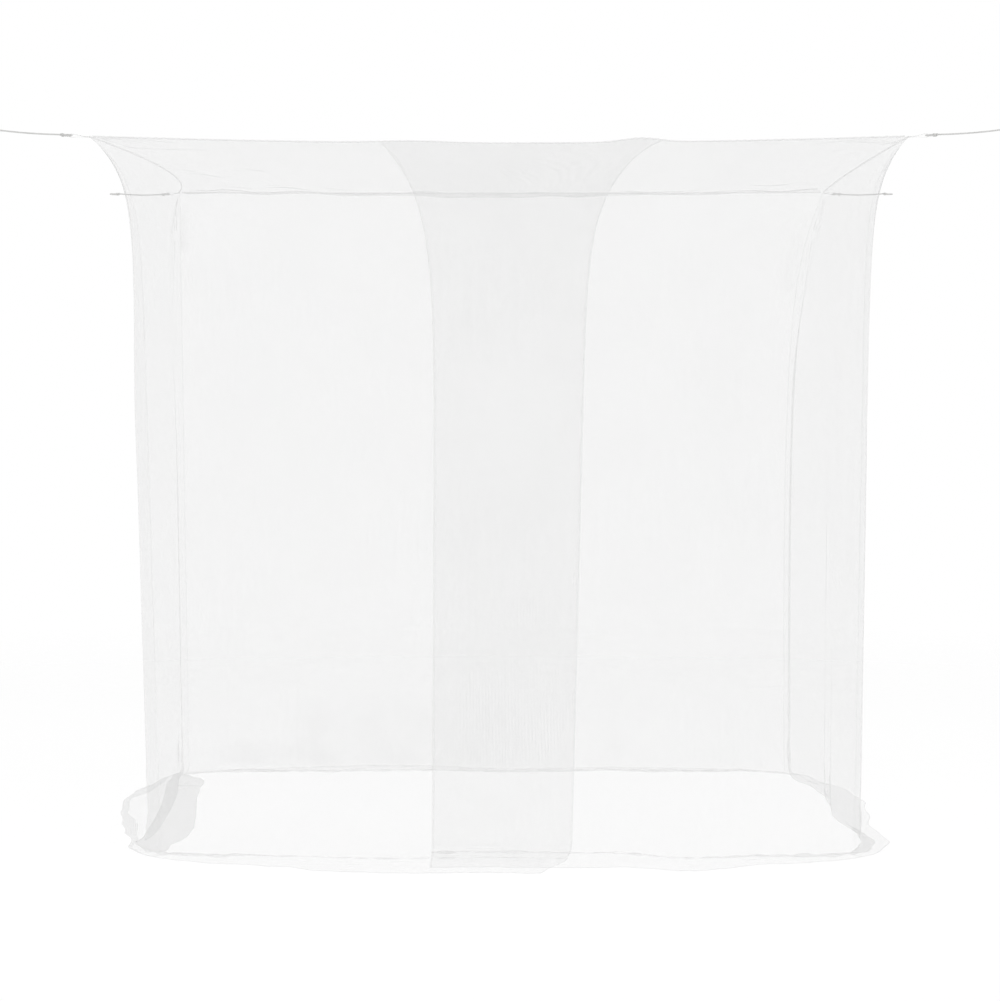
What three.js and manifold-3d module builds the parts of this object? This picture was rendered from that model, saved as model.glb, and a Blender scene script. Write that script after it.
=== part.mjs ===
// A hanging box mosquito net for a double bed, tied up at its four top corners.
// Millimetres. +X is right, +Y is back, +Z is up. The origin is on the floor under the net's middle.
// A roof panel, four walls, of which the front one is two overlapping panels, a tape over each
// roof seam, a tab loop at each corner and a cord tie in each tab. The walls are longer than the
// tie height, so their hems lie out on the floor.

import * as THREE from 'three';
import { mergeVertices } from 'three/addons/utils/BufferGeometryUtils.js';
import Module from 'manifold-3d';

const wasm = await Module();
wasm.setup();

// Cloth, as cut and as tied
const TIE_HEIGHT = 2100;
const WALL_CUT = 2400;
const SHEET = 1.2;
const GAP = 0.3;
const SEAM_GAP = 0.35;

// How the cloth falls: the pull of the ears dies out downwards, and the foot bends out on the floor
const FLARE_DECAY = 95;
const LATE_DECAY = 400;
const BEND = 50;
const BEND_LENGTH = (BEND * Math.PI) / 2;
const LEAST_SLOPE = 1e-6;
const EDGE_SAG = 12;
const ROOF_SAG = 50;
const EAR_ROUND = 4.5;
const HANG_ROUND = 35;
const CORNER_FAN = 70;
const CORNER_DRAW = 0.6;
const DRAW_WIDE = 200;
const FOLD_CLEAR = 120;

// The hem's crumples on the floor
const HUMPS = 2;
const HUMP_STEEP = 0.2;
const HUMP_SHIFT = 0.25;
const HUMP_SHIFTS = 3;
const HEM_FLAT = 0.1;

// Where each top corner is tied, where its corner hangs below that, and where it meets the floor.
// late is how far out a slower flare holds a corner at its top.
const CORNERS = {
  frontLeft: { ear: [-1165, -1040], hang: [-1072, -955], foot: [-1018, -930], turn: -135, rise: 0 },
  frontRight: { ear: [1195, -1040], hang: [1124, -955], foot: [1098, -930], turn: -45, rise: 0 },
  backRight: { ear: [1190, 1082], hang: [1058, 968], foot: [1072, 960], turn: 45, rise: 16, late: 120 },
  backLeft: { ear: [-1150, 1082], hang: [-1165, 968], foot: [-1138, 960], turn: 135, rise: 16 },
};

// The walls run anticlockwise from above. bow is how far the top edge is drawn in between its ears.
// folds: place along the wall, push outwards, half width, and the drop where a fold starts and is full
// reach: how far out of its bend the hem lies, by place along the wall
// lifts: where the top edge rides up, by place along the wall
const WALLS = {
  front: {
    from: 'frontLeft',
    to: 'frontRight',
    out: [0, -1],
    bow: 85,
    lifts: [{ at: 0.392, rise: 5, width: 130 }, { at: 0.675, rise: 12, width: 75 }],
    folds: [
      { at: 0.09, push: 16, width: 70, start: 250, full: 1000 },
      { at: 0.2, push: -14, width: 90, start: 250, full: 1100 },
      { at: 0.33, push: 12, width: 110, start: 500, full: 1500 },
      { at: 0.47, push: -10, width: 120, start: 500, full: 1600 },
      { at: 0.6, push: 10, width: 110, start: 500, full: 1600 },
      { at: 0.72, push: 14, width: 90, start: 350, full: 1300 },
      { at: 0.85, push: -16, width: 90, start: 250, full: 1100 },
      { at: 0.94, push: 18, width: 70, start: 200, full: 1000 },
    ],
    reach: [
      [0, 16], [0.06, 46], [0.12, 84], [0.19, 142], [0.25, 205], [0.42, 230],
      [0.6, 225], [0.75, 192], [0.87, 100], [0.94, 40], [1, 20],
    ],
  },
  right: {
    from: 'frontRight',
    to: 'backRight',
    out: [1, 0],
    bow: 33,
    lifts: [],
    folds: [
      { at: 0.15, push: 18, width: 90, start: 250, full: 1100 },
      { at: 0.35, push: -22, width: 130, start: 300, full: 1100 },
      { at: 0.62, push: 20, width: 110, start: 350, full: 1200 },
      { at: 0.9, push: -40, width: 150, start: 120, full: 700 },
    ],
    reach: [[0, 20], [0.08, 42], [0.2, 62], [0.5, 84], [0.65, 92], [0.8, 100], [1, 70]],
  },
  back: {
    from: 'backRight',
    to: 'backLeft',
    out: [0, 1],
    bow: 114,
    lifts: [],
    folds: [
      { at: 0.08, push: 20, width: 60, start: 200, full: 900 },
      { at: 0.3, push: 25, width: 60, start: 1300, full: 1900 },
      { at: 0.45, push: -14, width: 130, start: 500, full: 1500 },
      { at: 0.6, push: 16, width: 110, start: 500, full: 1600 },
      { at: 0.75, push: -18, width: 100, start: 700, full: 1700 },
      { at: 0.92, push: 22, width: 60, start: 200, full: 900 },
    ],
    reach: [[0, 70], [0.2, 130], [0.45, 110], [0.7, 202], [1, 40]],
  },
  left: {
    from: 'backLeft',
    to: 'frontLeft',
    out: [-1, 0],
    bow: 96,
    lifts: [],
    folds: [
      { at: 0.12, push: -10, width: 90, start: 200, full: 900 },
      { at: 0.5, push: -34, width: 700, start: 250, full: 1100 },
      { at: 0.9, push: 22, width: 70, start: 200, full: 900 },
    ],
    reach: [
      [0, 40], [0.15, 72], [0.25, 112], [0.37, 138], [0.5, 130], [0.62, 108],
      [0.73, 80], [0.83, 44], [0.92, 24], [1, 16],
    ],
  },
};

// The doorway: the right front panel lies over the left one. Each free edge's X at the top and at
// the floor, and how far the tie's pull draws it over at the very top.
const DOOR = {
  left: { top: 280, floor: 230, draw: 210, decay: 115, side: -1 },
  right: { top: -170, floor: -182, draw: -160, decay: 160, side: 1 },
};
const DOOR_PART_TOP = 1.1;
const DOOR_PART = 5;
const DOOR_PART_DROP = 120;
const DOOR_PART_CLEAR = 250;
const HEM_LIFT = 16;
const HEM_JOIN = 0.2;
const HEM_LIFT_FROM = 0.64;
const HEM_LIFT_TO = 0.76;
const HEM_SKEW = 0.35;
const HEM_SKEW_WIDTH = 0.14;

// Edge tape, over each roof seam
const TAPE_WIDE = 3.2;
const TAPE_UNDER = 0.7;
const TAPE_OVER = 4.3;
const TAPE_END = 12;
const ROOF_INSET = TAPE_WIDE / 2 + GAP;
const INSET_DECAY = 230;
const ROOF_RISE = 1.8;
const WALL_DROP = TAPE_UNDER + GAP;

// Corner tab: a loop of doubled tape, sewn shut at its root, with the tie's ring in its eye
const TAB_WIDE = 9;
const TAB_PLY = 1.2;
const TAB_ROOT = GAP + SHEET / 2 - EAR_ROUND * Math.SQRT2;
const TAB_SEWN = 15;
const EYE_OUT = 60;
const EYE_RADIUS = 4.5;
const TAB_DROP = 0.4;

// Tie: a ring of cord through the eye, its knot, the taut cord, and a hanging loop with its knot
const CORD = 5;
const CORD_SIDES = 8;
const RING_SIDES = 6;
const RING_STEPS = 14;
const RING_RADIUS = 13;
const RING_SLACK = 1.1;
const RING_OUT = EYE_OUT + EYE_RADIUS - GAP - RING_SLACK - CORD / 2 + RING_RADIUS;
const KNOT = { long: 8, wide: 6.5, high: 6 };
const KNOT_BEYOND = 3.5;
const KNOT_OUT = RING_OUT + RING_RADIUS + KNOT_BEYOND;
const CORD_START = KNOT_OUT + KNOT.long + GAP;
const LOOP_RADIUS = 16;
const TIE_REACH = 400;
const LOOP_OUT = TIE_REACH - LOOP_RADIUS - CORD / 2;
const END_KNOT_OUT = LOOP_OUT - LOOP_RADIUS - KNOT_BEYOND;
const CORD_END = END_KNOT_OUT - KNOT.long - GAP;
const CORD_STEPS = 18;

// The taut cord between its knots: part of the way along, and the sag there
const ROUTE = [
  { along: 0, sag: 0 },
  { along: 0.05, sag: 0.4 },
  { along: 0.1, sag: 0.9 },
  { along: 0.17, sag: 1.6 },
  { along: 0.24, sag: 2.2 },
  { along: 0.31, sag: 2.7 },
  { along: 0.38, sag: 3 },
  { along: 0.45, sag: 3.2 },
  { along: 0.52, sag: 3.2 },
  { along: 0.6, sag: 3 },
  { along: 0.68, sag: 2.7 },
  { along: 0.76, sag: 2.2 },
  { along: 0.84, sag: 1.5 },
  { along: 0.92, sag: 0.8 },
  { along: 1, sag: 0 },
];

// How finely the cloth is built: places from a corner that its round needs, then even stretches,
// and cloth lengths down a wall
const CORNER_STEPS = [0, 14, 45, 105];
const FRONT_STRETCHES = [{ to: 0.357, count: 5 }, { to: 0.705, count: 7 }, { to: 1, count: 4 }];
const LONG_COUNT = 16;
const SIDE_COUNT = 11;
const DROPS = [0, 40, 90, 150, 220, 310, 420, 800, 1200, 1600, 1960, 2050, 2076, 2102, 2128];
const HEM_ROWS = 9;
const TAB_CURVE = 6;
const LUMP_SIDES = 10;
const LUMP_RINGS = 7;

// Short steps for finding a surface's normal, as part of a wall's length and in cloth length
const STEP_ALONG = 1e-4;
const STEP_DOWN = 0.5;
const SAME_POINT = 1e-4;
const SAME_PLACE = 1e-9;

const COLOURS = {
  net: { color: 0xf6f6f4, roughness: 0.9, metalness: 0 },
  tape: { color: 0xf2f2ef, roughness: 0.85, metalness: 0 },
  cord: { color: 0xe9e9e4, roughness: 0.8, metalness: 0 },
};

const lerp = THREE.MathUtils.lerp;
const smoothstep = THREE.MathUtils.smoothstep;

function lerpPair(a, b, t) {
  return [lerp(a[0], b[0], t), lerp(a[1], b[1], t)];
}

function distance(a, b) {
  return Math.hypot(b[0] - a[0], b[1] - a[1]);
}

// A value from a table of [place, value] rows, with soft turns at the rows
function fromTable(rows, place) {
  const last = rows.length - 1;
  for (let i = 0; i < last; i += 1) {
    const [start, low] = rows[i];
    const [end, high] = rows[i + 1];
    if (place <= end) {
      return low + (high - low) * smoothstep(place, start, end);
    }
  }
  return rows[last][1];
}

// Height of a wall's top edge at a place along it
function edgeHeight(wall, s) {
  const length = distance(CORNERS[wall.from].ear, CORNERS[wall.to].ear);
  let z = TIE_HEIGHT - EDGE_SAG * 4 * s * (1 - s);
  for (const lift of wall.lifts) {
    z += lift.rise * Math.exp(-(((s - lift.at) * length / lift.width) ** 2));
  }
  return z;
}

// Plan of a wall's top edge: straight between its ears, drawn in by its bow
function edgePlan(wall, s) {
  const plan = lerpPair(CORNERS[wall.from].ear, CORNERS[wall.to].ear, s);
  const drawn = wall.bow * 4 * s * (1 - s);
  return [plan[0] - wall.out[0] * drawn, plan[1] - wall.out[1] * drawn];
}

// Where a corner of the net hangs at a drop below the ties, before its round
function cornerPlan(corner, drop) {
  const plan = lerpPair(corner.hang, corner.foot, drop / TIE_HEIGHT);
  const late = (corner.late ?? 0) * Math.exp(-drop / LATE_DECAY);
  return [plan[0] + late * Math.sign(plan[0]), plan[1]];
}

// The direction out of the corner that a wall shares with its neighbour, as the sum of both outs
function cornerOut(name) {
  const outs = Object.values(WALLS).filter((wall) => wall.from === name || wall.to === name);
  return [outs[0].out[0] + outs[1].out[0], outs[0].out[1] + outs[1].out[1]];
}

// How far a wall's folds push it out at a place and a drop
function foldPush(wall, s, drop, length) {
  const nearest = Math.min(s, 1 - s) * length;
  const clear = 1 - Math.exp(-((nearest / FOLD_CLEAR) ** 2));
  let push = 0;
  for (const fold of wall.folds) {
    const across = ((s - fold.at) * length) / fold.width;
    push += fold.push * Math.exp(-(across ** 2)) * smoothstep(drop, fold.start, fold.full);
  }
  return push * clear;
}

// Plan of a hanging wall at a place and a drop: the ears' pull, the folds and the corners' round
function wallPlan(wall, s, drop) {
  const pull = Math.exp(-drop / FLARE_DECAY);
  const from = CORNERS[wall.from];
  const to = CORNERS[wall.to];
  const start = lerpPair(cornerPlan(from, drop), from.ear, pull);
  const end = lerpPair(cornerPlan(to, drop), to.ear, pull);
  const length = distance(start, end);
  const hanging = lerpPair(cornerPlan(from, drop), cornerPlan(to, drop), s);
  const plan = lerpPair(hanging, edgePlan(wall, s), pull);
  const push = foldPush(wall, s, drop, length);
  const round = lerp(HANG_ROUND, EAR_ROUND, pull);
  const ends = [
    { way: cornerOut(wall.from), off: s * length },
    { way: cornerOut(wall.to), off: (1 - s) * length },
  ];
  let x = plan[0] + wall.out[0] * push;
  let y = plan[1] + wall.out[1] * push;
  for (const near of ends) {
    const inwards = round * Math.exp(-near.off / (2 * round));
    x -= near.way[0] * inwards;
    y -= near.way[1] * inwards;
  }
  return [x, y];
}

// The way that cloth on the floor runs out of a wall. It turns to the diagonal at the corners, and
// is shorter there, where the hem is drawn in.
function floorWay(wall, s, length) {
  const ends = [
    { way: cornerOut(wall.from), off: s * length },
    { way: cornerOut(wall.to), off: (1 - s) * length },
  ];
  const way = new THREE.Vector2(wall.out[0], wall.out[1]);
  for (const near of ends) {
    const share = Math.exp(-near.off / CORNER_FAN);
    way.x += (near.way[0] - wall.out[0]) * share;
    way.y += (near.way[1] - wall.out[1]) * share;
  }
  const nearest = Math.min(ends[0].off, ends[1].off);
  return way.normalize().multiplyScalar(1 - CORNER_DRAW * Math.exp(-nearest / DRAW_WIDE));
}

// At a place along a wall: the drop to its bend, and the cloth length that lies past the bend.
// slope is how far the cloth runs out per drop at the top, where the flare takes up more of it.
function fallAt(wall, s) {
  const hanging = lerpPair(cornerPlan(CORNERS[wall.from], 0), cornerPlan(CORNERS[wall.to], 0), s);
  const slope = Math.max(distance(hanging, edgePlan(wall, s)) / FLARE_DECAY, LEAST_SLOPE);
  const steep = Math.hypot(1, slope);
  const slack = FLARE_DECAY * (steep - 1 - Math.log((1 + steep) / 2));
  const drop = edgeHeight(wall, s) - WALL_DROP - BEND - SHEET / 2;
  const lies = WALL_CUT - drop - slack - BEND_LENGTH;
  return { drop, lies };
}

// A point of a wall's middle surface, and whether it lies flat: at place s along it, and d down it,
// which is the drop while it hangs and goes on as cloth length over its bend and the floor.
// part moves a door panel off the wall's surface, lift raises what lies on the floor.
function wallPoint(wall, s, d, extra) {
  const fall = fallAt(wall, s);
  if (d <= fall.drop) {
    const plan = wallPlan(wall, s, d);
    const apart = extra.part(s, d);
    const z = edgeHeight(wall, s) - WALL_DROP - d;
    return {
      at: new THREE.Vector3(plan[0] + wall.out[0] * apart, plan[1] + wall.out[1] * apart, z),
      flat: false,
    };
  }
  const plan = wallPlan(wall, s, fall.drop);
  const way = floorWay(wall, s, distance(CORNERS[wall.from].foot, CORNERS[wall.to].foot));
  const bend = Math.min((d - fall.drop) / BEND, Math.PI / 2);
  const reach = fromTable(wall.reach, s);
  const along = Math.max(0, (d - fall.drop - BEND_LENGTH) / fall.lies);
  const uneven = 1 + HUMP_SHIFT * Math.sin(2 * Math.PI * HUMP_SHIFTS * s);
  const crumpled = Math.min(along / (1 - HEM_FLAT), 1) ** uneven;
  const apart = extra.part(s, fall.drop) * (1 - smoothstep(along, 0, HEM_JOIN));
  const loose = (2 / (HUMPS * Math.PI)) * Math.sqrt(reach * Math.max(fall.lies - reach, 0));
  const height = Math.min(loose, HUMP_STEEP * reach);
  const out = BEND * (1 - Math.cos(bend)) + reach * along;
  const lift = extra.lift(s) * (1 - Math.cos(bend));
  const hump = height * Math.sin(Math.PI * HUMPS * crumpled) ** 2;
  const z = SHEET / 2 + BEND * (1 - Math.sin(bend)) + lift + hump;
  const skew = extra.skew(s) * out;
  return {
    at: new THREE.Vector3(
      plan[0] + wall.out[0] * apart + way.x * out + skew,
      plan[1] + wall.out[1] * apart + way.y * out,
      z,
    ),
    flat: along >= 1 - HEM_FLAT,
  };
}

// A closed sheet: columns and rows laid on a surface, half the cloth on each side, and a rim round
// them. Both sides have the same diagonals, so that they don't cross where the cloth is warped.
function sheetGeometry(surface, columns, rows, thickness) {
  const wide = columns + 1;
  const layer = wide * (rows + 1);
  const positions = new Float32Array(layer * 2 * 3);
  for (let row = 0; row <= rows; row += 1) {
    for (let column = 0; column <= columns; column += 1) {
      const { at, normal } = surface(column, row);
      const here = row * wide + column;
      at.clone().addScaledVector(normal, thickness / 2).toArray(positions, here * 3);
      at.clone().addScaledVector(normal, -thickness / 2).toArray(positions, (layer + here) * 3);
    }
  }
  const faces = [];
  const rim = (p, q) => faces.push(p, q, layer + q, p, layer + q, layer + p);
  for (let row = 0; row < rows; row += 1) {
    for (let column = 0; column < columns; column += 1) {
      const a = row * wide + column;
      const b = a + wide;
      const c = b + 1;
      const d = a + 1;
      faces.push(a, b, d, b, c, d);
      faces.push(layer + a, layer + d, layer + b, layer + b, layer + d, layer + c);
      if (row === 0) {
        rim(a, d);
      }
      if (row === rows - 1) {
        rim(c, b);
      }
      if (column === 0) {
        rim(b, a);
      }
      if (column === columns - 1) {
        rim(d, c);
      }
    }
  }
  const geometry = new THREE.BufferGeometry();
  geometry.setAttribute('position', new THREE.BufferAttribute(positions, 3));
  geometry.setIndex(faces);
  return closed(geometry);
}

// Only positions, with shared vertices merged
function closed(geometry) {
  geometry.deleteAttribute('normal');
  geometry.deleteAttribute('uv');
  const merged = mergeVertices(geometry, SAME_POINT);
  merged.computeVertexNormals();
  return merged;
}

// The outward normal of a wall known as point(a, b), from a short step along it and one down it
function normalAt(point, a, b, stepA, stepB) {
  const along = point(a + stepA, b).sub(point(a, b)).multiplyScalar(Math.sign(stepA));
  const down = point(a, b + stepB).sub(point(a, b)).multiplyScalar(Math.sign(stepB));
  return down.cross(along).normalize();
}

// Columns of a wall as places along it: a few close to each corner, then even stretches between
function wallPlaces(wall, stretches) {
  const length = distance(CORNERS[wall.from].ear, CORNERS[wall.to].ear);
  const near = CORNER_STEPS.map((step) => step / length);
  const places = [...near];
  let start = near[near.length - 1];
  for (const stretch of stretches) {
    const end = stretch.to === 1 ? 1 - near[near.length - 1] : stretch.to;
    for (let i = 1; i <= stretch.count; i += 1) {
      places.push(lerp(start, end, i / stretch.count));
    }
    start = end;
  }
  for (let i = near.length - 2; i >= 0; i -= 1) {
    places.push(1 - near[i]);
  }
  return places;
}

const PLACES = {
  front: wallPlaces(WALLS.front, FRONT_STRETCHES),
  right: wallPlaces(WALLS.right, [{ to: 1, count: SIDE_COUNT }]),
  back: wallPlaces(WALLS.back, [{ to: 1, count: LONG_COUNT }]),
  left: wallPlaces(WALLS.left, [{ to: 1, count: SIDE_COUNT }]),
};

// How far down a row is: down the hanging wall, then evenly over what lies on the floor
function rowDrop(wall, s, row) {
  const fall = fallAt(wall, s);
  const bendEnd = fall.drop + BEND_LENGTH;
  if (row < DROPS.length) {
    return (DROPS[row] * bendEnd) / DROPS[DROPS.length - 1];
  }
  const step = row - DROPS.length + 1;
  const flat = bendEnd + fall.lies * (1 - HEM_FLAT) * (step / (HEM_ROWS - 1));
  return step === HEM_ROWS ? bendEnd + fall.lies : flat;
}

const PLAIN = { part: () => 0, lift: () => 0, skew: () => 0 };
const ROWS = DROPS.length - 1 + HEM_ROWS;

// A wall panel: its columns are places, which may draw in with the cloth length, and its rows drops
function wallGeometry(wall, places, extra, placeAt) {
  const count = places.length - 1;
  const trim = SEAM_GAP / distance(CORNERS[wall.from].foot, CORNERS[wall.to].foot);
  const surface = (column, row) => {
    const nominal = placeAt(places[column], 0);
    const d = rowDrop(wall, nominal, row);
    const s = THREE.MathUtils.clamp(placeAt(places[column], d), trim, 1 - trim);
    const cloth = rowDrop(wall, s, row);
    const { at, flat } = wallPoint(wall, s, cloth, extra);
    const along = column < count / 2 ? STEP_ALONG : -STEP_ALONG;
    const down = row < ROWS / 2 ? STEP_DOWN : -STEP_DOWN;
    const point = (a, b) => wallPoint(wall, a, b, extra).at;
    const normal = flat ? new THREE.Vector3(0, 0, 1) : normalAt(point, s, cloth, along, down);
    if (row === 0) {
      normal.setZ(0).normalize();
    }
    return { at, normal };
  };
  return sheetGeometry(surface, count, ROWS, SHEET);
}

// A door panel's free edge, as a place along the front wall, by cloth length
function doorEdge(door, d) {
  const left = CORNERS[WALLS.front.from];
  const right = CORNERS[WALLS.front.to];
  const drop = Math.min(d, TIE_HEIGHT - BEND);
  const pull = Math.exp(-drop / FLARE_DECAY);
  const start = lerpPair(cornerPlan(left, drop), left.ear, pull)[0];
  const end = lerpPair(cornerPlan(right, drop), right.ear, pull)[0];
  const x = lerp(door.top, door.floor, drop / TIE_HEIGHT) + door.draw * Math.exp(-drop / door.decay);
  return (x - start) / (end - start);
}

// The two front panels lie one before the other where they overlap, and join the walls at the sides
function doorExtra(door) {
  const front = WALLS.front;
  const length = distance(CORNERS[front.from].ear, CORNERS[front.to].ear);
  const fade = (s) => {
    const off = (door.side < 0 ? s : 1 - s) * length;
    return 1 - Math.exp(-((off / DOOR_PART_CLEAR) ** 2));
  };
  const grown = (drop) => lerp(DOOR_PART_TOP, DOOR_PART, smoothstep(drop, 0, DOOR_PART_DROP));
  const edge = doorEdge(door, TIE_HEIGHT);
  return {
    part: (s, drop) => door.side * grown(drop) * fade(s),
    lift: (s) => (door.side > 0 ? HEM_LIFT * (1 - smoothstep(s, HEM_LIFT_FROM, HEM_LIFT_TO)) : 0),
    skew: (s) => (door.side < 0 ? -HEM_SKEW * smoothstep(s, edge - HEM_SKEW_WIDTH, edge) : 0),
  };
}

function doorGeometry(door) {
  const top = door.side < 0 ? FRONT_STRETCHES[1].to : FRONT_STRETCHES[0].to;
  const places = PLACES.front.filter((s) => (door.side < 0 ? s <= top + SAME_PLACE : s >= top - SAME_PLACE));
  const placeAt = (s, d) => {
    const edge = d === 0 ? top : doorEdge(door, d);
    return door.side < 0 ? (s * edge) / top : 1 - ((1 - s) * (1 - edge)) / (1 - top);
  };
  return wallGeometry(WALLS.front, places, doorExtra(door), placeAt);
}

// The roof seam's line along a wall, moved in and up
function seamPoint(wall, s, inset, rise) {
  const plan = edgePlan(wall, s);
  return new THREE.Vector3(
    plan[0] - wall.out[0] * inset,
    plan[1] - wall.out[1] * inset,
    edgeHeight(wall, s) + rise,
  );
}

// The roof: a patch blended from its four seams, with the net's sag in its middle
function roofGeometry() {
  const columns = PLACES.front.length - 1;
  const rows = PLACES.left.length - 1;
  const backPlaces = [...PLACES.back].reverse();
  const rim = (wall, s) => seamPoint(wall, s, 0, ROOF_RISE);
  const corner = (name) => {
    const { ear } = CORNERS[name];
    return new THREE.Vector3(ear[0], ear[1], TIE_HEIGHT + ROOF_RISE);
  };
  const patch = (u, v, frontS, backS, leftS, rightS) => {
    const point = rim(WALLS.front, frontS).multiplyScalar(1 - v);
    point.addScaledVector(rim(WALLS.back, backS), v);
    point.addScaledVector(rim(WALLS.left, leftS), 1 - u);
    point.addScaledVector(rim(WALLS.right, rightS), u);
    point.addScaledVector(corner('frontLeft'), -(1 - u) * (1 - v));
    point.addScaledVector(corner('frontRight'), -u * (1 - v));
    point.addScaledVector(corner('backLeft'), -(1 - u) * v);
    point.addScaledVector(corner('backRight'), -u * v);
    point.z -= ROOF_SAG * 16 * u * (1 - u) * v * (1 - v);
    point.x += ROOF_INSET * (Math.exp(-u * INSET_DECAY) - Math.exp((u - 1) * INSET_DECAY));
    point.y += ROOF_INSET * (Math.exp(-v * INSET_DECAY) - Math.exp((v - 1) * INSET_DECAY));
    return point;
  };
  const surface = (column, row) => {
    const frontS = PLACES.front[column];
    const backS = backPlaces[column];
    const leftS = PLACES.left[row];
    const rightS = PLACES.right[rows - row];
    const u = (frontS + 1 - backS) / 2;
    const v = (rightS + 1 - leftS) / 2;
    const at = patch(u, v, frontS, backS, leftS, rightS);
    return { at, normal: new THREE.Vector3(0, 0, 1) };
  };
  return sheetGeometry(surface, columns, rows, SHEET);
}

// The tape over a roof seam: a flat bar bent along the seam, stopping short of the ears
function tapeGeometry(wall, places) {
  const length = distance(CORNERS[wall.from].ear, CORNERS[wall.to].ear);
  const end = TAPE_END / length;
  const middle = (TAPE_OVER - TAPE_UNDER) / 2;
  const tall = TAPE_OVER + TAPE_UNDER;
  const surface = (column, row) => {
    const s = THREE.MathUtils.clamp(places[column], end, 1 - end);
    const at = seamPoint(wall, s, 0, middle + tall * (0.5 - row));
    return { at, normal: new THREE.Vector3(wall.out[0], wall.out[1], 0) };
  };
  return sheetGeometry(surface, places.length - 1, 1, TAPE_WIDE);
}

// A corner's tab, seen from the side: tape sewn flat at its root, then two plies round an open eye
function tabGeometry() {
  const outer = EYE_RADIUS + TAB_PLY;
  const shape = new THREE.Shape();
  shape.moveTo(TAB_ROOT, -TAB_PLY);
  shape.lineTo(TAB_SEWN, -TAB_PLY);
  shape.lineTo(EYE_OUT, -outer);
  shape.absarc(EYE_OUT, 0, outer, -Math.PI / 2, Math.PI / 2, false);
  shape.lineTo(TAB_SEWN, TAB_PLY);
  shape.lineTo(TAB_ROOT, TAB_PLY);
  shape.closePath();
  const eye = new THREE.Path();
  eye.moveTo(TAB_SEWN, 0);
  eye.lineTo(EYE_OUT, EYE_RADIUS);
  eye.absarc(EYE_OUT, 0, EYE_RADIUS, Math.PI / 2, -Math.PI / 2, true);
  eye.closePath();
  shape.holes.push(eye);
  const cut = { depth: TAB_WIDE, bevelEnabled: false, curveSegments: TAB_CURVE };
  const geometry = new THREE.ExtrudeGeometry(shape, cut);
  geometry.translate(0, 0, -TAB_WIDE / 2);
  geometry.rotateX(Math.PI / 2);
  geometry.translate(0, 0, -TAB_DROP);
  return closed(geometry);
}

function toSolid(geometry) {
  const merged = closed(geometry);
  return new wasm.Manifold(new wasm.Mesh({
    numProp: 3,
    vertProperties: merged.getAttribute('position').array,
    triVerts: new Uint32Array(merged.getIndex().array),
  }));
}

function fromSolid(solid) {
  const mesh = solid.getMesh();
  const geometry = new THREE.BufferGeometry();
  geometry.setAttribute('position', new THREE.BufferAttribute(new Float32Array(mesh.vertProperties), 3));
  geometry.setIndex(new THREE.BufferAttribute(new Uint32Array(mesh.triVerts), 1));
  geometry.computeVertexNormals();
  return geometry;
}

// A knot and the loop of cord it closes, as one piece, lying level
function knottedLoop(knotOut, loopOut, radius, height) {
  const lump = new THREE.SphereGeometry(1, LUMP_SIDES, LUMP_RINGS);
  lump.scale(KNOT.long, KNOT.wide, KNOT.high);
  lump.translate(knotOut, 0, height);
  const loop = new THREE.TorusGeometry(radius, CORD / 2, RING_SIDES, RING_STEPS);
  loop.translate(loopOut, 0, height);
  return fromSolid(toSolid(lump).add(toSolid(loop)));
}

// A tie's rise over its length, for ties that lead up to their hooks
function riseAt(corner, out) {
  const part = (out - CORD_START) / (CORD_END - CORD_START);
  return corner.rise * THREE.MathUtils.clamp(part, 0, 1) - TAB_DROP;
}

function cordGeometry(corner) {
  const points = ROUTE.map((row) => {
    const out = lerp(CORD_START, CORD_END, row.along);
    return new THREE.Vector3(out, 0, riseAt(corner, out) - row.sag);
  });
  const section = new THREE.Shape();
  for (let i = 0; i < CORD_SIDES; i += 1) {
    const angle = (2 * Math.PI * i) / CORD_SIDES;
    const x = (CORD / 2) * Math.cos(angle);
    const y = (CORD / 2) * Math.sin(angle);
    if (i === 0) {
      section.moveTo(x, y);
    } else {
      section.lineTo(x, y);
    }
  }
  section.closePath();
  const path = new THREE.CatmullRomCurve3(points);
  return closed(new THREE.ExtrudeGeometry(section, { steps: CORD_STEPS, extrudePath: path }));
}

function piece(name, geometry, finish) {
  const mesh = new THREE.Mesh(geometry, new THREE.MeshStandardMaterial(COLOURS[finish]));
  mesh.name = name;
  return mesh;
}

// What hangs the net at one corner: its tab, and the tie's knots and cord, out on the diagonal
function cornerTie(name) {
  const corner = CORNERS[name];
  const tie = new THREE.Group();
  tie.position.set(corner.ear[0], corner.ear[1], TIE_HEIGHT);
  tie.rotation.z = THREE.MathUtils.degToRad(corner.turn);
  tie.add(piece(`tab_${name}`, tabGeometry(), 'tape'));
  tie.add(piece(`knot_${name}`, knottedLoop(KNOT_OUT, RING_OUT, RING_RADIUS, -TAB_DROP), 'cord'));
  tie.add(piece(`cord_${name}`, cordGeometry(corner), 'cord'));
  const endHeight = riseAt(corner, CORD_END);
  tie.add(piece(`end_${name}`, knottedLoop(END_KNOT_OUT, LOOP_OUT, LOOP_RADIUS, endHeight), 'cord'));
  return tie;
}

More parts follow.
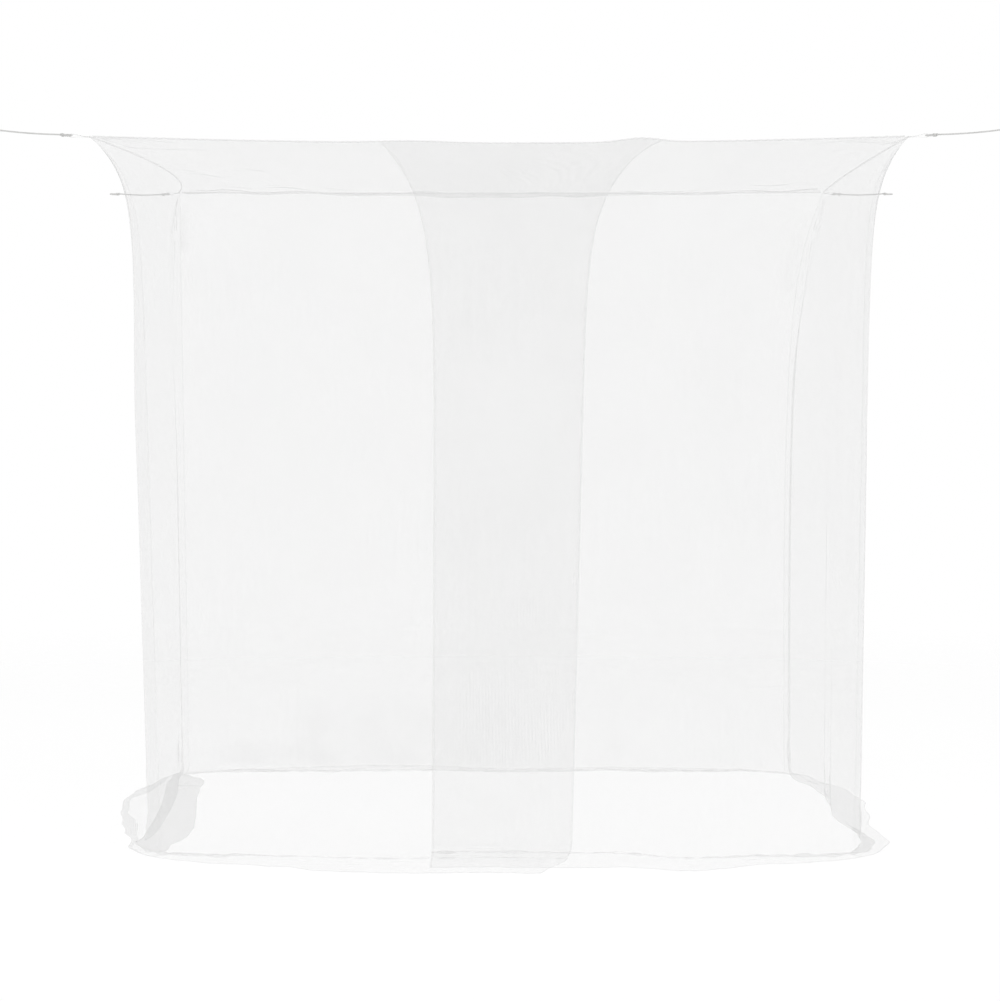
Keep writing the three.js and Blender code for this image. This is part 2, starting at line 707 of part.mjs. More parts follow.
const asCut = (s) => s;
const net = new THREE.Group();
net.add(piece('roof_panel', roofGeometry(), 'net'));
net.add(piece('wall_back', wallGeometry(WALLS.back, PLACES.back, PLAIN, asCut), 'net'));
net.add(piece('wall_left', wallGeometry(WALLS.left, PLACES.left, PLAIN, asCut), 'net'));
net.add(piece('wall_right', wallGeometry(WALLS.right, PLACES.right, PLAIN, asCut), 'net'));
net.add(piece('front_panel_left', doorGeometry(DOOR.left), 'net'));
net.add(piece('front_panel_right', doorGeometry(DOOR.right), 'net'));
for (const side of Object.keys(WALLS)) {
  net.add(piece(`tape_${side}`, tapeGeometry(WALLS[side], PLACES[side]), 'tape'));
}
for (const name of Object.keys(CORNERS)) {
  net.add(cornerTie(name));
}

export default net;
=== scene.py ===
"""A hanging bed net: the looks of its net cloth, edge tapes, corner tabs and cord ties, in metres."""

import math

import bpy
import numpy as np
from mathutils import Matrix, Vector


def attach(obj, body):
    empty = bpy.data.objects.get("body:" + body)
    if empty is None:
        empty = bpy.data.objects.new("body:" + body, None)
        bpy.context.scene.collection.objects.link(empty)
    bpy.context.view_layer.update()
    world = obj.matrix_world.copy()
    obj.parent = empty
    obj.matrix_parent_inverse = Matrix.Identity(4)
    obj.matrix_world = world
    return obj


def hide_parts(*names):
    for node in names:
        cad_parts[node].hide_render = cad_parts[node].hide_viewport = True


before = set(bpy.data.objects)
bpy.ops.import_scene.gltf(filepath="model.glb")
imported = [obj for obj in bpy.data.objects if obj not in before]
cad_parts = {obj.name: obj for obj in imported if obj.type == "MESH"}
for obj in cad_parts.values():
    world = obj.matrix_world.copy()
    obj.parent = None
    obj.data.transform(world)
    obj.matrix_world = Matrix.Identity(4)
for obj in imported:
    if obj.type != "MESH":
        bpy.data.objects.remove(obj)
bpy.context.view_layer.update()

bl_info = {
    "name": "Hanging Bed Net",
    "version": (1, 0, 0),
    "blender": (4, 5, 0),
    "location": "View3D > Sidebar > Bed Net",
    "description": "Makes a box net for a bed, hung by cord ties at its four top corners",
    "category": "Object",
}

BODY = "root"

# Fixed seeds for the waves and the stitches, with one more each for the bunched cloth and the roof
SEED = 11
BUNCH_SEED = 5
ROOF_SEED = 9

# Cloth as cut and as tied, as in the frame, with each wall's width and how the edges and the roof sag
TIE_HEIGHT = 2.1
WALL_CUT = 2.4
CUT_WIDE = 2.1
CUT_DEEP = 1.9
CUT = {"front": CUT_WIDE, "right": CUT_DEEP, "back": CUT_WIDE, "left": CUT_DEEP}
SHEET = 0.0012
GAP = 0.0003
EDGE_SAG = 0.012
ROOF_SAG = 0.05
ROOF_RISE = 0.0018
WALL_DROP = 0.001

# How the cloth falls: the pull of the ears dies out downwards, and the foot bends out on the floor
FLARE_DECAY = 0.095
LATE_DECAY = 0.4
BEND = 0.05
BEND_LENGTH = BEND * math.pi / 2
EAR_ROUND = 0.0045
HANG_ROUND = 0.035
CORNER_FAN = 0.07
CORNER_DRAW = 0.6
DRAW_WIDE = 0.2
FOLD_CLEAR = 0.12

# The least slope of the flare and the least length of a normal that the sums take
LEAST_SLOPE = 1e-6
LEAST_NORMAL = 1e-12

# The cloth on the floor: its humps, its flat edge, and how high and how wide a pleat under it is
HUMPS = 2
HUMP_STEEP = 0.2
HUMP_SHARE = 0.1
HUMP_SHIFT = 0.25
HUMP_SHIFTS = 3
HEM_FLAT = 0.1
TUCK_HIGH = 0.014
PLEAT_LEAST = 1e-3
PLEAT_MOST = 0.95

# Each top corner: where it is tied, hangs and stands, the way its tie leads off, the tie's rise, and
# how far out a slower flare holds it at its top
CORNERS = {
    "front_left": {
        "ear": (-1.165, -1.04), "hang": (-1.072, -0.955), "foot": (-1.018, -0.93),
        "turn": -135, "rise": 0, "late": 0,
    },
    "front_right": {
        "ear": (1.195, -1.04), "hang": (1.124, -0.955), "foot": (1.098, -0.93),
        "turn": -45, "rise": 0, "late": 0,
    },
    "back_right": {
        "ear": (1.19, 1.082), "hang": (1.058, 0.968), "foot": (1.072, 0.96),
        "turn": 45, "rise": 0.016, "late": 0.12,
    },
    "back_left": {
        "ear": (-1.15, 1.082), "hang": (-1.165, 0.968), "foot": (-1.138, 0.96),
        "turn": 135, "rise": 0.016, "late": 0,
    },
}

# The walls run anticlockwise from above. folds: place along the wall, push outwards, half width,
# and the drop where a fold starts and is full. lifts: place, rise and width where the top edge
# rides up. reach, tuck and ease: by place, how far out the hem lies, how much of what lies on the
# floor is pleated under the wall, and how much looser that pleat is.
WALLS = {
    "front": {
        "from": "front_left",
        "to": "front_right",
        "out": (0, -1),
        "bow": 0.085,
        "lifts": [(0.392, 0.005, 0.13), (0.675, 0.012, 0.075)],
        "folds": [
            (0.09, 0.016, 0.07, 0.25, 1.0),
            (0.2, -0.014, 0.09, 0.25, 1.1),
            (0.33, 0.012, 0.11, 0.5, 1.5),
            (0.47, -0.01, 0.12, 0.5, 1.6),
            (0.6, 0.01, 0.11, 0.5, 1.6),
            (0.72, 0.014, 0.09, 0.35, 1.3),
            (0.85, -0.016, 0.09, 0.25, 1.1),
            (0.94, 0.018, 0.07, 0.2, 1.0),
        ],
        "reach": [
            (0, 0.016), (0.06, 0.046), (0.12, 0.084), (0.19, 0.142), (0.25, 0.205), (0.42, 0.23),
            (0.6, 0.225), (0.75, 0.192), (0.87, 0.1), (0.94, 0.04), (1, 0.02),
        ],
        "tuck": [(0, 1), (0.12, 1), (0.2, 0.7), (0.85, 0.7), (1, 1)],
        "ease": [(0, 0)],
    },
    "right": {
        "from": "front_right",
        "to": "back_right",
        "out": (1, 0),
        "bow": 0.033,
        "lifts": [],
        "folds": [
            (0.15, 0.018, 0.09, 0.25, 1.1),
            (0.35, -0.022, 0.13, 0.3, 1.1),
            (0.62, 0.02, 0.11, 0.35, 1.2),
            (0.9, -0.04, 0.15, 0.12, 0.7),
        ],
        "reach": [
            (0, 0.02), (0.08, 0.042), (0.2, 0.062), (0.5, 0.084), (0.65, 0.092), (0.8, 0.1), (1, 0.07),
        ],
        "tuck": [(0, 0.9), (0.1, 0.6), (0.3, 0.2), (0.5, 0), (1, 0)],
        "ease": [(0, 0)],
    },
    "back": {
        "from": "back_right",
        "to": "back_left",
        "out": (0, 1),
        "bow": 0.114,
        "lifts": [],
        "folds": [
            (0.08, 0.02, 0.06, 0.2, 0.9),
            (0.3, 0.025, 0.06, 1.3, 1.9),
            (0.45, -0.014, 0.13, 0.5, 1.5),
            (0.6, 0.016, 0.11, 0.5, 1.6),
            (0.75, -0.018, 0.1, 0.7, 1.7),
            (0.92, 0.022, 0.06, 0.2, 0.9),
        ],
        "reach": [(0, 0.07), (0.2, 0.13), (0.45, 0.11), (0.7, 0.202), (1, 0.04)],
        "tuck": [(0, 0), (0.2, 0.4), (0.85, 0.4), (1, 0.6)],
        "ease": [(0, 0)],
    },
    "left": {
        "from": "back_left",
        "to": "front_left",
        "out": (-1, 0),
        "bow": 0.096,
        "lifts": [],
        "folds": [
            (0.12, -0.01, 0.09, 0.2, 0.9),
            (0.5, -0.034, 0.7, 0.25, 1.1),
            (0.9, 0.022, 0.07, 0.2, 0.9),
        ],
        "reach": [
            (0, 0.04), (0.15, 0.072), (0.25, 0.112), (0.37, 0.138), (0.5, 0.13),
            (0.62, 0.108), (0.73, 0.08), (0.83, 0.044), (0.92, 0.024), (1, 0.016),
        ],
        "tuck": [(0, 0.6), (0.1, 1), (1, 1)],
        "ease": [(0, 0.02), (0.15, 0.05), (0.7, 0.045), (0.9, 0.02), (1, 0)],
    },
}

# The doorway: each front panel's free edge, at the top and the floor, and how the ties' pull
# draws it over at the very top. The right panel lies over the left one.
DOORS = {
    "left": {"top": 0.28, "floor": 0.23, "draw": 0.21, "decay": 0.115, "side": -1},
    "right": {"top": -0.17, "floor": -0.182, "draw": -0.16, "decay": 0.16, "side": 1},
}

# How far each front panel lies off the wall's own surface, at its top and lower down. On the floor,
# the right one's hem lies higher as far as it covers the left one, whose hem is drawn askew.
DOOR_PART_TOP = 0.0011
DOOR_PART = 0.005
DOOR_PART_DROP = 0.12
DOOR_PART_CLEAR = 0.25
HEM_LIFT = 0.016
HEM_JOIN = 0.2
HEM_LIFT_FROM = 0.64
HEM_LIFT_TO = 0.76
HEM_SKEW = 0.35
HEM_SKEW_WIDTH = 0.14

# Waves in the cloth: how many are mixed, the shortest and the longest, and how far their crests lean
RIPPLES = (26, 0.04, 0.15, 0.12)
RIPPLE_PATCHES = (6, 0.5, 1.2, 1.0)
CRINKLES = (40, 0.08, 0.2, 1.2)
ROOF_WAVES = (26, 0.15, 0.6, 1.5)
BUNCH_PATCHES = (8, 0.15, 0.5, 1.0)

# How much each wall ripples, how patchy that is, over which drops it grows, and what its foot loses
RIPPLED = {"front": 0.7, "right": 0.08, "back": 0.7, "left": 0.08}
RIPPLE_EVEN = 0.6
RIPPLE_GROWS = (0.04, 0.5)
RIPPLE_FOOT = 0.7
ROOF_SOFT = 1.6

# Creases that fan out of the tied corners
CREASE_EVERY = math.radians(11)
CREASE_DEEP = 0.0022
CREASE_REACH = 0.35
CREASE_FALL = 1.5
CREASE_GROWN = 0.05
CREASE_OTHER = 0.6
CREASE_ODD = 47.0

# Gathers beside the back corners: how far apart, how deep and how far in, how they waver on the way
# down, and the drops over which they grow and fade
GATHER = 0.028
GATHER_DEEP = 0.003
GATHER_WIDE = 0.09
GATHER_WAVER = 2.1
GATHER_TURNS = 7
GATHER_GROWS = (0.03, 0.15)
GATHER_FADES = (0.35, 0.9)

# Where the cloth lies calm: at its seams and corners, above its foot, and towards its hem's edge
SEAM_CLEAR = 0.04
CORNER_CLEAR = 0.028
FOOT_ABOVE = 0.3
HEM_CALM = 0.08
HEM_STILL = 0.85

# Where a wall's cloth is bunched: place along, half width, from how high above its bend to how high,
# and how much closer the yarn lies there
BUNCHED = {
    "back": [
        (0.865, 0.13, 0.09, -0.01, 0.11),
        (0.77, 0.07, 0.26, -0.01, 0.1),
        (0.655, 0.16, 0.3, -0.01, 0.1),
        (0.51, 0.16, 0.3, -0.01, 0.07),
        (0.29, 0.03, 0.32, -0.01, 0.08),
        (0.997, 0.03, 2.05, 1.85, 0.12),
        (0.02, 0.03, 1.95, 1.7, 0.08),
    ],
}
BUNCH_SOFT = 0.03
BUNCH_FADE = 0.4
BUNCH_UNEVEN = 0.25

# How finely the cloth is made: its columns and rows, and the drops that its rows divide
COLUMN_FINE = 0.003
COLUMN = 0.008
COLUMN_GROWTH = 0.035
FLARE_DROP = 0.24
FOOT_FINE = 0.3
FLARE_ROWS = 40
HANG_ROWS = 76
FOOT_ROWS = 25
BEND_ROWS = 13
FLOOR_ROWS = 44
ROOF_FINE = 0.004
ROOF_COLUMN = 0.011

# Folded edges and seams: their rows, how far a fold stands open, how far its weave lies off the
# cloth's, and how much closer the yarn lies, there and in the cloth
HEM_ROWS = 4
HEM_OPEN = 0.0008
HEM_OFF = (0.0007, 0.0009)
EDGE_OFF = (0.0009, 0.0007)
SEAM_WIDE = 0.004
HEM_DENSE = 0.06
EDGE_DENSE = -0.09
ROOF_DENSE = 0.075
SIDE_DENSE = {"front": 0.0, "right": 0.03, "back": 0.0, "left": 0.03}

# The yarn's and the holes' cover, over the net's mean cover, and how uneven it is
YARN_OVER = 3.04
HOLE_OVER = 0.24
CLOUDED = 0.2

# How rough woven tape and laid yarn are, and how much more on their fibres
LEAST_ROUGH = 0.65
FIBRE_ROUGH = 0.2

# Edge tape, as in the frame, and its sheer weave
TAPE_WIDE = 0.0032
TAPE_UNDER = 0.0007
TAPE_OVER = 0.0043
TAPE_END = 0.012
TAPE_POINTS = 160
TAPE_DRIFT = 9.0
TAPE_PITCH = 0.0008
TAPE_YARN = 0.4
TAPE_THIN = 0.14

# Corner tab, as in the frame, and the section of its ribbon
TAB_WIDE = 0.009
TAB_PLY = 0.0012
TAB_ROOT = GAP + SHEET / 2 - EAR_ROUND * math.sqrt(2)
TAB_SEWN = 0.015
TAB_OPENS = 0.006
TAB_NIP = 0.9
TAB_DROP = 0.0004
EYE_OUT = 0.06
EYE_RADIUS = 0.0045
TAB_TURN = 13
TAB_THICK = 0.001
TAB_EDGE = 0.0005

# Sewing: the thread, how far it stands off the cloth, and where each line of stitches runs
THREAD = 0.00035
THREAD_OFF = 0.0004
THREAD_COLOUR = (0.95, 0.95, 0.945)
STITCH_SHARE = 0.7
SEWN_PROBE = 0.002
HEM_SEWN = 0.8
TAPE_SEWN = 0.0008
TAPE_SEWN_END = 1.2 * TAPE_END
TAB_STITCH = 0.0022
TAB_STITCH_SHARE = 0.75
TAB_INSET = 0.001
TAB_SIDE_INSET = 0.0015
TAB_LINE_POINTS = 6

# The tie: a ring through the tab, its knot, the taut cord, and a hanging loop with its knot
CORD = 0.005
STRAND = 0.00125
RING_RADIUS = 0.013
RING_SLACK = 0.0011
RING_OUT = EYE_OUT + EYE_RADIUS - GAP - RING_SLACK - CORD / 2 + RING_RADIUS
KNOT_HALF = (0.008, 0.0065, 0.006)
KNOT_BEYOND = 0.0035
KNOT_OUT = RING_OUT + RING_RADIUS + KNOT_BEYOND
CORD_START = KNOT_OUT + KNOT_HALF[0] + GAP
LOOP_RADIUS = 0.016
LOOP_TILT = 0.0004
TIE_REACH = 0.4
LOOP_OUT = TIE_REACH - LOOP_RADIUS - CORD / 2
END_KNOT_OUT = LOOP_OUT - LOOP_RADIUS - KNOT_BEYOND
CORD_END = END_KNOT_OUT - KNOT_HALF[0] - GAP
CORD_POINTS = 60
LOOP_POINTS = 48
KNOT_POINTS = 64

# The taut cord between its knots: part of the way along, and the sag there
ROUTE = [
    (0, 0), (0.05, 0.0004), (0.1, 0.0009), (0.17, 0.0016), (0.24, 0.0022), (0.31, 0.0027),
    (0.38, 0.003), (0.45, 0.0032), (0.52, 0.0032), (0.6, 0.003), (0.68, 0.0027), (0.76, 0.0022),
    (0.84, 0.0015), (0.92, 0.0008), (1, 0),
]

# The studio: its floor, how far the camera sees, the lamps as name, place, size and power, what they
# point at, and how many clear layers light passes
FLOOR_RADIUS = 8.0
FLOOR_SOLID = 4.0
FLOOR_RINGS = 24
FLOOR_SPOKES = 64
FLOOR_GLOW = 0.818
FLOOR_COLOUR = (0.22, 0.22, 0.22)
SIGHT = 100
LAMPS = [
    ("Lamp above", (0.4, -1.0, 5.5), 4.0, 60),
    ("Lamp front", (-3.5, -6.0, 3.2), 3.0, 30),
]
LAMP_AIM = Vector((0, 0, 1))
CLEAR_BOUNCES = 40


class BedNetSizes(bpy.types.PropertyGroup):
    """The net's own sizes that its maker may change without a new frame."""

    ripple: bpy.props.FloatProperty(
        name="Ripple depth",
        description="How deep the soft upright ripples of the hanging cloth are",
        default=0.0022, min=0.0, max=0.01, unit="LENGTH",
    )
    crinkle: bpy.props.FloatProperty(
        name="Crinkle depth",
        description="How deep the crinkles of the cloth on the floor are",
        default=0.0022, min=0.0, max=0.02, unit="LENGTH",
    )
    mesh_pitch: bpy.props.FloatProperty(
        name="Net hole pitch",
        description="How far apart the net's holes are",
        default=0.002, min=0.001, max=0.006, unit="LENGTH",
    )
    hem: bpy.props.FloatProperty(
        name="Hem width",
        description="How much of the cloth is folded back along the foot and the free edges",
        default=0.007, min=0.004, max=0.04, unit="LENGTH",
    )
    stitch: bpy.props.FloatProperty(
        name="Stitch pitch",
        description="How far apart the stitches are",
        default=0.005, min=0.002, max=0.01, unit="LENGTH",
    )
    lay: bpy.props.FloatProperty(
        name="Cord lay",
        description="The cord's length in which its strands turn once round it",
        default=0.018, min=0.008, max=0.05, unit="LENGTH",
    )


class BedNetFinish(bpy.types.PropertyGroup):
    """The net's colours and finishes."""

    net: bpy.props.FloatVectorProperty(
        name="Net colour", description="The colour of the net's yarn",
        default=(0.86, 0.86, 0.86), min=0.0, max=1.0, size=3, subtype="COLOR",
    )
    tape: bpy.props.FloatVectorProperty(
        name="Tape colour", description="The colour of the edge tapes and corner tabs",
        default=(0.93, 0.93, 0.925), min=0.0, max=1.0, size=3, subtype="COLOR",
    )
    cord: bpy.props.FloatVectorProperty(
        name="Cord colour", description="The colour of the cord ties",
        default=(0.86, 0.86, 0.85), min=0.0, max=1.0, size=3, subtype="COLOR",
    )
    cover: bpy.props.FloatProperty(
        name="Yarn cover", description="How much of the net's face its yarn covers",
        default=0.155, min=0.05, max=0.6, subtype="FACTOR",
    )


class BedNetStage(bpy.types.PropertyGroup):
    """The studio round the net."""

    eye: bpy.props.FloatVectorProperty(
        name="Camera place", description="Where the camera stands",
        default=(0.03, -9.14, 1.326), size=3, subtype="XYZ", unit="LENGTH",
    )
    pitch: bpy.props.FloatProperty(
        name="Camera pitch", description="How far the camera looks down",
        default=math.radians(1.92), subtype="ANGLE",
    )
    yaw: bpy.props.FloatProperty(
        name="Camera yaw", description="How far the camera looks to its left",
        default=math.radians(0.08), subtype="ANGLE",
    )
    lens: bpy.props.FloatProperty(
        name="Lens", description="The camera's focal length in millimetres for a 36 mm frame",
        default=101.0, min=20.0, max=300.0,
    )
    light: bpy.props.FloatProperty(
        name="Room light", description="The strength of the even light from all round",
        default=0.6, min=0.0, max=2.0,
    )


# Small sums on numbers and arrays


def lerp(a, b, t):
    return a + (b - a) * t


def smoothstep(x, low, high):
    t = np.clip((x - low) / (high - low), 0, 1)
    return t * t * (3 - 2 * t)


def from_table(rows, place):
    """Values from a table of (place, value) rows, with soft turns at the rows."""
    value = np.full(np.shape(place), float(rows[0][1]))
    for (start, low), (end, high) in zip(rows, rows[1:]):
        value = value + (high - low) * smoothstep(place, start, end)
    return value


def distance(a, b):
    return np.hypot(b[0] - a[0], b[1] - a[1])


def bulge(t):
    """A parabola that is 0 at both ends of a length and 1 in its middle."""
    return 4 * t * (1 - t)


# The net's surface, as the frame builds it


def seam_length(wall):
    """The straight length between a wall's two ears."""
    return distance(CORNERS[wall["from"]]["ear"], CORNERS[wall["to"]]["ear"])


def from_corners(wall, s, length):
    """A wall's two corners, each with how far from it the places along the wall are."""
    return (wall["from"], s * length), (wall["to"], (1 - s) * length)


def edge_height(wall, s):
    """Height of a wall's top edge at places along it."""
    length = seam_length(wall)
    height = TIE_HEIGHT - EDGE_SAG * bulge(s)
    for at, rise, width in wall["lifts"]:
        height = height + rise * np.exp(-(((s - at) * length / width) ** 2))
    return height


def edge_plan(wall, s):
    """Plan of a wall's top edge: straight between its ears, drawn in by its bow."""
    start, end = CORNERS[wall["from"]]["ear"], CORNERS[wall["to"]]["ear"]
    drawn = wall["bow"] * bulge(s)
    return [lerp(start[i], end[i], s) - wall["out"][i] * drawn for i in range(2)]


def corner_plan(corner, drop):
    """Where a corner hangs at a drop below the ties, before its round."""
    plan = [lerp(corner["hang"][i], corner["foot"][i], drop / TIE_HEIGHT) for i in range(2)]
    late = corner["late"] * np.exp(-drop / LATE_DECAY)
    return [plan[0] + late * np.sign(plan[0]), plan[1]]


def corner_out(name):
    """The way out of a corner, as the sum of the ways out of its two walls."""
    outs = [wall["out"] for wall in WALLS.values() if name in (wall["from"], wall["to"])]
    return [outs[0][i] + outs[1][i] for i in range(2)]


def fold_push(wall, s, drop, length):
    """How far the folds push a wall out."""
    nearest = np.minimum(s, 1 - s) * length
    clear = 1 - np.exp(-((nearest / FOLD_CLEAR) ** 2))
    push = 0
    for at, out, width, start, full in wall["folds"]:
        across = (s - at) * length / width
        push = push + out * np.exp(-(across ** 2)) * smoothstep(drop, start, full)
    return push * clear


def wall_plan(wall, s, drop):
    """Plan of a hanging wall: the ears' pull, the folds and the corners' round."""
    pull = np.exp(-drop / FLARE_DECAY)
    low, high = CORNERS[wall["from"]], CORNERS[wall["to"]]
    edge = edge_plan(wall, s)
    first, last = corner_plan(low, drop), corner_plan(high, drop)
    start = [lerp(first[i], low["ear"][i], pull) for i in range(2)]
    end = [lerp(last[i], high["ear"][i], pull) for i in range(2)]
    length = distance(start, end)
    push = fold_push(wall, s, drop, length)
    plan = [lerp(lerp(first[i], last[i], s), edge[i], pull) + wall["out"][i] * push for i in range(2)]
    turn = lerp(HANG_ROUND, EAR_ROUND, pull)
    for name, off in from_corners(wall, s, length):
        inwards = turn * np.exp(-off / (2 * turn))
        way = corner_out(name)
        plan = [plan[i] - way[i] * inwards for i in range(2)]
    return plan


def floor_way(wall, s):
    """The way that cloth on the floor runs out of a wall.

    It turns to the diagonal at the corners, and is shorter there, where the hem is drawn in.
    """
    length = distance(CORNERS[wall["from"]]["foot"], CORNERS[wall["to"]]["foot"])
    way = [np.full(np.shape(s), float(wall["out"][i])) for i in range(2)]
    for name, off in from_corners(wall, s, length):
        share = np.exp(-off / CORNER_FAN)
        corner = corner_out(name)
        way = [way[i] + (corner[i] - wall["out"][i]) * share for i in range(2)]
    drawn = 1 - CORNER_DRAW * np.exp(-np.minimum(s, 1 - s) * length / DRAW_WIDE)
    size = np.hypot(way[0], way[1])
    return [way[0] / size * drawn, way[1] / size * drawn]


def fall_at(wall, s):
    """At places along a wall: its slope at the top, the drop to its bend, and what lies past it."""
    low, high = corner_plan(CORNERS[wall["from"]], 0), corner_plan(CORNERS[wall["to"]], 0)
    flare = distance([lerp(low[i], high[i], s) for i in range(2)], edge_plan(wall, s))
    slope = np.maximum(flare / FLARE_DECAY, LEAST_SLOPE)
    drop = edge_height(wall, s) - WALL_DROP - BEND - SHEET / 2
    return slope, drop, WALL_CUT - drop - taken_up(slope, 0) - BEND_LENGTH


def taken_up(slope, low):
    """The cloth length that the flare takes up, over the drop, while its slope falls to a lower one."""
    steep, less = np.hypot(1, slope), np.hypot(1, low)
    return FLARE_DECAY * (steep - less - np.log((1 + steep) / (1 + less)))


def cloth_length(wall, s, d):
    """The cloth's own length down a wall, at d down it."""
    slope, drop, _ = fall_at(wall, s)
    return d + taken_up(slope, slope * np.exp(-np.minimum(d, drop) / FLARE_DECAY))


def floor_lay(wall, s, along, lies, bend):
    """How far out and how high the cloth past its bend lies, in humps or in a pleat under the wall."""
    reach = from_table(wall["reach"], s)
    tuck = from_table(wall["tuck"], s)
    uneven = 1 + HUMP_SHIFT * np.sin(2 * math.pi * HUMP_SHIFTS * s)
    crumpled = np.minimum(along / (1 - HEM_FLAT), 1) ** uneven
    loose = 2 / (HUMPS * math.pi) * np.sqrt(reach * np.maximum(lies - reach, 0))
    high = np.minimum(loose, HUMP_STEEP * reach)
    hump = HUMP_SHARE * high * np.sin(math.pi * HUMPS * crumpled) ** 2
    pleat = (lies - reach) / 2 + from_table(wall["ease"], s)
    turned = np.clip(2 * pleat / lies, PLEAT_LEAST, PLEAT_MOST)
    folded = np.minimum(along / turned, 1)
    under = -pleat * (1 - np.cos(2 * math.pi * folded)) / 2
    beyond = reach * np.clip((along - turned) / (1 - turned), 0, 1)
    raised = TUCK_HIGH * (1 - folded) * (1 - np.cos(bend))
    return lerp(reach * along, under + beyond, tuck), lerp(hump, raised, tuck)


def wall_points(wall, s, d, door=None):
    """A wall's surface in the frame, at places s along it and d down it.

    d is the drop while the cloth hangs, and goes on as cloth length over the bend and the floor.
    """
    _, most, lies = fall_at(wall, s)
    drop = np.clip(d, 0, most)
    plan = wall_plan(wall, s, drop)
    way = floor_way(wall, s)
    bend = np.clip((d - most) / BEND, 0, math.pi / 2)
    along = np.clip((d - most - BEND_LENGTH) / lies, 0, 1)
    spread, raised = floor_lay(wall, s, along, lies, bend)
    out = BEND * (1 - np.cos(bend)) + spread
    lift = 0
    skew = 0
    apart = 0
    if door:
        apart = door_apart(door, s, drop) * (1 - smoothstep(along, 0, HEM_JOIN))
        if door["side"] > 0:
            lift = HEM_LIFT * (1 - smoothstep(s, HEM_LIFT_FROM, HEM_LIFT_TO)) * (1 - np.cos(bend))
        else:
            edge = door_edge(door, TIE_HEIGHT)
            skew = -HEM_SKEW * smoothstep(s, edge - HEM_SKEW_WIDTH, edge) * out
    hung = edge_height(wall, s) - WALL_DROP - drop
    floor = SHEET / 2 + BEND * (1 - np.sin(bend)) + lift + raised
    return np.stack([
        plan[0] + wall["out"][0] * apart + way[0] * out + skew,
        plan[1] + wall["out"][1] * apart + way[1] * out,
        np.where(d < most, hung, floor),
    ], axis=-1)


def door_edge(door, d):
    """A front panel's free edge, as a place along the front wall."""
    low, high = CORNERS["front_left"], CORNERS["front_right"]
    drop = np.minimum(d, TIE_HEIGHT - BEND)
    pull = np.exp(-drop / FLARE_DECAY)
    start = lerp(corner_plan(low, drop)[0], low["ear"][0], pull)
    end = lerp(corner_plan(high, drop)[0], high["ear"][0], pull)
    x = lerp(door["top"], door["floor"], drop / TIE_HEIGHT) + door["draw"] * np.exp(-drop / door["decay"])
    return (x - start) / (end - start)


def door_apart(door, s, drop):
    """How far a front panel lies off the wall's own surface."""
    length = seam_length(WALLS["front"])
    off = (s if door["side"] < 0 else 1 - s) * length
    fade = 1 - np.exp(-((off / DOOR_PART_CLEAR) ** 2))
    return door["side"] * lerp(DOOR_PART_TOP, DOOR_PART, smoothstep(drop, 0, DOOR_PART_DROP)) * fade


def seam_points(wall, s, rise):
    """The roof seam's line along a wall."""
    plan = edge_plan(wall, s)
    return np.stack([plan[0], plan[1], edge_height(wall, s) + rise], axis=-1)


def roof_points(u, v):
    """The roof, blended from its four seams, with its sag. u runs right and v back."""
    front, back = WALLS["front"], WALLS["back"]
    left, right = WALLS["left"], WALLS["right"]
    weights = [
        (seam_points(front, u, ROOF_RISE), 1 - v),
        (seam_points(back, 1 - u, ROOF_RISE), v),
        (seam_points(left, 1 - v, ROOF_RISE), 1 - u),
        (seam_points(right, v, ROOF_RISE), u),
    ]
    points = sum(line * share[..., None] for line, share in weights)
    for name, share in (
        ("front_left", (1 - u) * (1 - v)),
        ("front_right", u * (1 - v)),
        ("back_left", (1 - u) * v),
        ("back_right", u * v),
    ):
        x, y = CORNERS[name]["ear"]
        points = points - np.array([x, y, TIE_HEIGHT + ROOF_RISE]) * share[..., None]
    points[..., 2] -= ROOF_SAG * bulge(u) * bulge(v)
    return points


# The relief that the frame leaves to the eye


def waves(rng, mix, a, d):
    """Soft random relief, about 1 high: a mix of sines across the cloth whose crests lean a little."""
    count, short, long, lean = mix
    total = 0
    for _ in range(count):
        length = short * (long / short) ** rng.random()
        turn = rng.normal(0, lean)
        phase = rng.uniform(0, 2 * math.pi)
        total = total + np.sin(2 * math.pi / length * (a * math.cos(turn) + d * math.sin(turn)) + phase)
    return total / math.sqrt(count / 2)


def ear_creases(off, down):
    """Creases that fan out of a tied corner."""
    far = np.hypot(off, down)
    turn = np.arctan2(down, off)
    grown = far / (far + CREASE_GROWN)
    fan = np.cos(2 * math.pi * turn / CREASE_EVERY) + CREASE_OTHER * np.cos(CREASE_ODD * turn + 1)
    return CREASE_DEEP * fan * grown * np.exp(-((far / CREASE_REACH) ** CREASE_FALL))


def corner_gathers(off, d):
    """Fine gathers beside a corner, which waver on the way down."""
    fine = np.sin(2 * math.pi * (off / GATHER) + GATHER_WAVER * np.sin(d * GATHER_TURNS))
    fall = smoothstep(d, *GATHER_GROWS) * (1 - smoothstep(d, *GATHER_FADES))
    return GATHER_DEEP * fine * np.exp(-off / GATHER_WIDE) * fall


